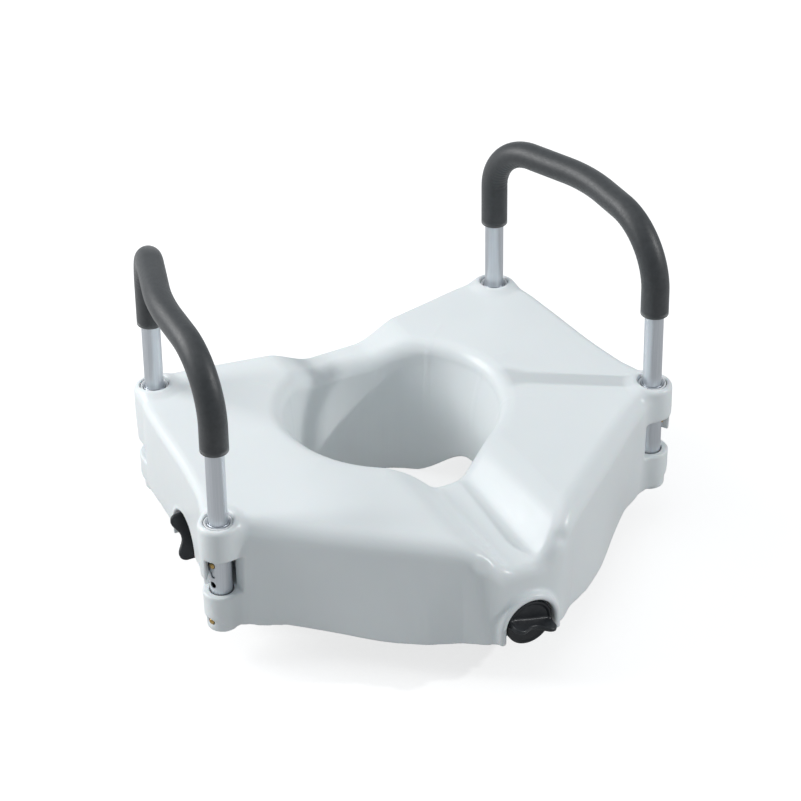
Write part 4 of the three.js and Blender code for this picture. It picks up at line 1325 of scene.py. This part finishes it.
@once
def floor_paint():
    """A matt pale sweep. The camera sees it lifted to white, while it lights the object less."""
    nodes = Nodes("floor_paint")
    nodes.colour(nodes.noise(1.5, 2), (0.41, 0.41, 0.41), (0.43, 0.43, 0.43))
    nodes.roughness(nodes.noise(20, 2), 0.85, 0.95)
    nodes.shader.inputs["Emission Color"].default_value = (1, 1, 1, 1)
    glow = nodes.add("ShaderNodeMath", operation="MULTIPLY_ADD")
    nodes.join(nodes.add("ShaderNodeLightPath").outputs["Is Camera Ray"], glow.inputs[0])
    glow.inputs[1].default_value = FLOOR_GLOW["seen"]
    glow.inputs[2].default_value = FLOOR_GLOW["always"]
    nodes.join(glow.outputs["Value"], nodes.shader.inputs["Emission Strength"])
    return nodes.finish(Specular_IOR_Level=0.1)


# ---------------------------------------------------------------- floor, light and camera

def make_floor():
    half = FLOOR_HALF / MM
    points = [(x * half, y * half, GUARD_BOTTOM) for x, y in ((-1, -1), (1, -1), (1, 1), (-1, 1))]
    floor = new_object("floor", points, [(0, 1, 2, 3)])
    floor.data.transform(Matrix.Translation(DRAWN_FROM))
    floor.data.materials.append(floor_paint())


def area_light(name, direction, distance, size, power):
    """A square lamp that faces the object from a direction."""
    light = bpy.data.lights.new(name, "AREA")
    light.shape = "SQUARE"
    light.size = size
    light.energy = power
    lamp = bpy.data.objects.new(name, light)
    bpy.context.scene.collection.objects.link(lamp)
    lamp.location = AIM + Vector(direction).normalized() * distance
    lamp.rotation_euler = (AIM - lamp.location).to_track_quat("-Z", "Y").to_euler()


def make_light():
    """A big soft lamp behind on the left, a soft one above, and a small one on the right in front."""
    for name, lamp in LAMPS.items():
        area_light(name, *lamp)
    world = bpy.data.worlds.new("studio")
    bpy.context.scene.world = world
    world.use_nodes = True
    nodes, links = world.node_tree.nodes, world.node_tree.links
    surround = nodes["Background"]
    surround.inputs["Color"].default_value = (0.88, 0.95, 1.0, 1)
    surround.inputs["Strength"].default_value = 0.38
    backdrop = nodes.new("ShaderNodeBackground")
    backdrop.inputs["Color"].default_value = (1, 1, 1, 1)
    chosen = nodes.new("ShaderNodeMixShader")
    links.new(nodes.new("ShaderNodeLightPath").outputs["Is Camera Ray"], chosen.inputs["Fac"])
    links.new(surround.outputs["Background"], chosen.inputs[1])
    links.new(backdrop.outputs["Background"], chosen.inputs[2])
    links.new(chosen.outputs["Shader"], nodes["World Output"].inputs["Surface"])


def make_camera():
    azimuth, elevation = math.radians(VIEW["azimuth"]), math.radians(VIEW["elevation"])
    back = Vector((
        math.sin(azimuth) * math.cos(elevation),
        -math.cos(azimuth) * math.cos(elevation),
        math.sin(elevation),
    ))
    camera = bpy.data.cameras.new("camera")
    camera.lens = VIEW["lens"]
    camera.sensor_width = 36
    camera.clip_end = 50
    holder = bpy.data.objects.new("camera", camera)
    bpy.context.scene.collection.objects.link(holder)
    turn = back.to_track_quat("Z", "Y").to_matrix() @ Matrix.Rotation(math.radians(VIEW["roll"]), 3, "Z")
    holder.matrix_world = Matrix.Translation(AIM + back * VIEW["distance"]) @ turn.to_4x4()
    bpy.context.scene.camera = holder


# ---------------------------------------------------------------- assembly

make_shell()
for number in (1, 2, 3, 4):
    make_rim_pad(number)
for leg in LEGS:
    make_sleeve(leg)
    make_collar(leg)
    make_end_plug(leg)
    make_clip(leg, "height")
    make_clip(leg, "lock")
for hand in ("left", "right"):
    make_arm_tube(hand)
    make_arm_grip(hand)
for clamp in CLAMPS:
    make_clamp(clamp)

make_floor()
make_light()
make_camera()
bpy.context.scene.view_settings.view_transform = "Standard"
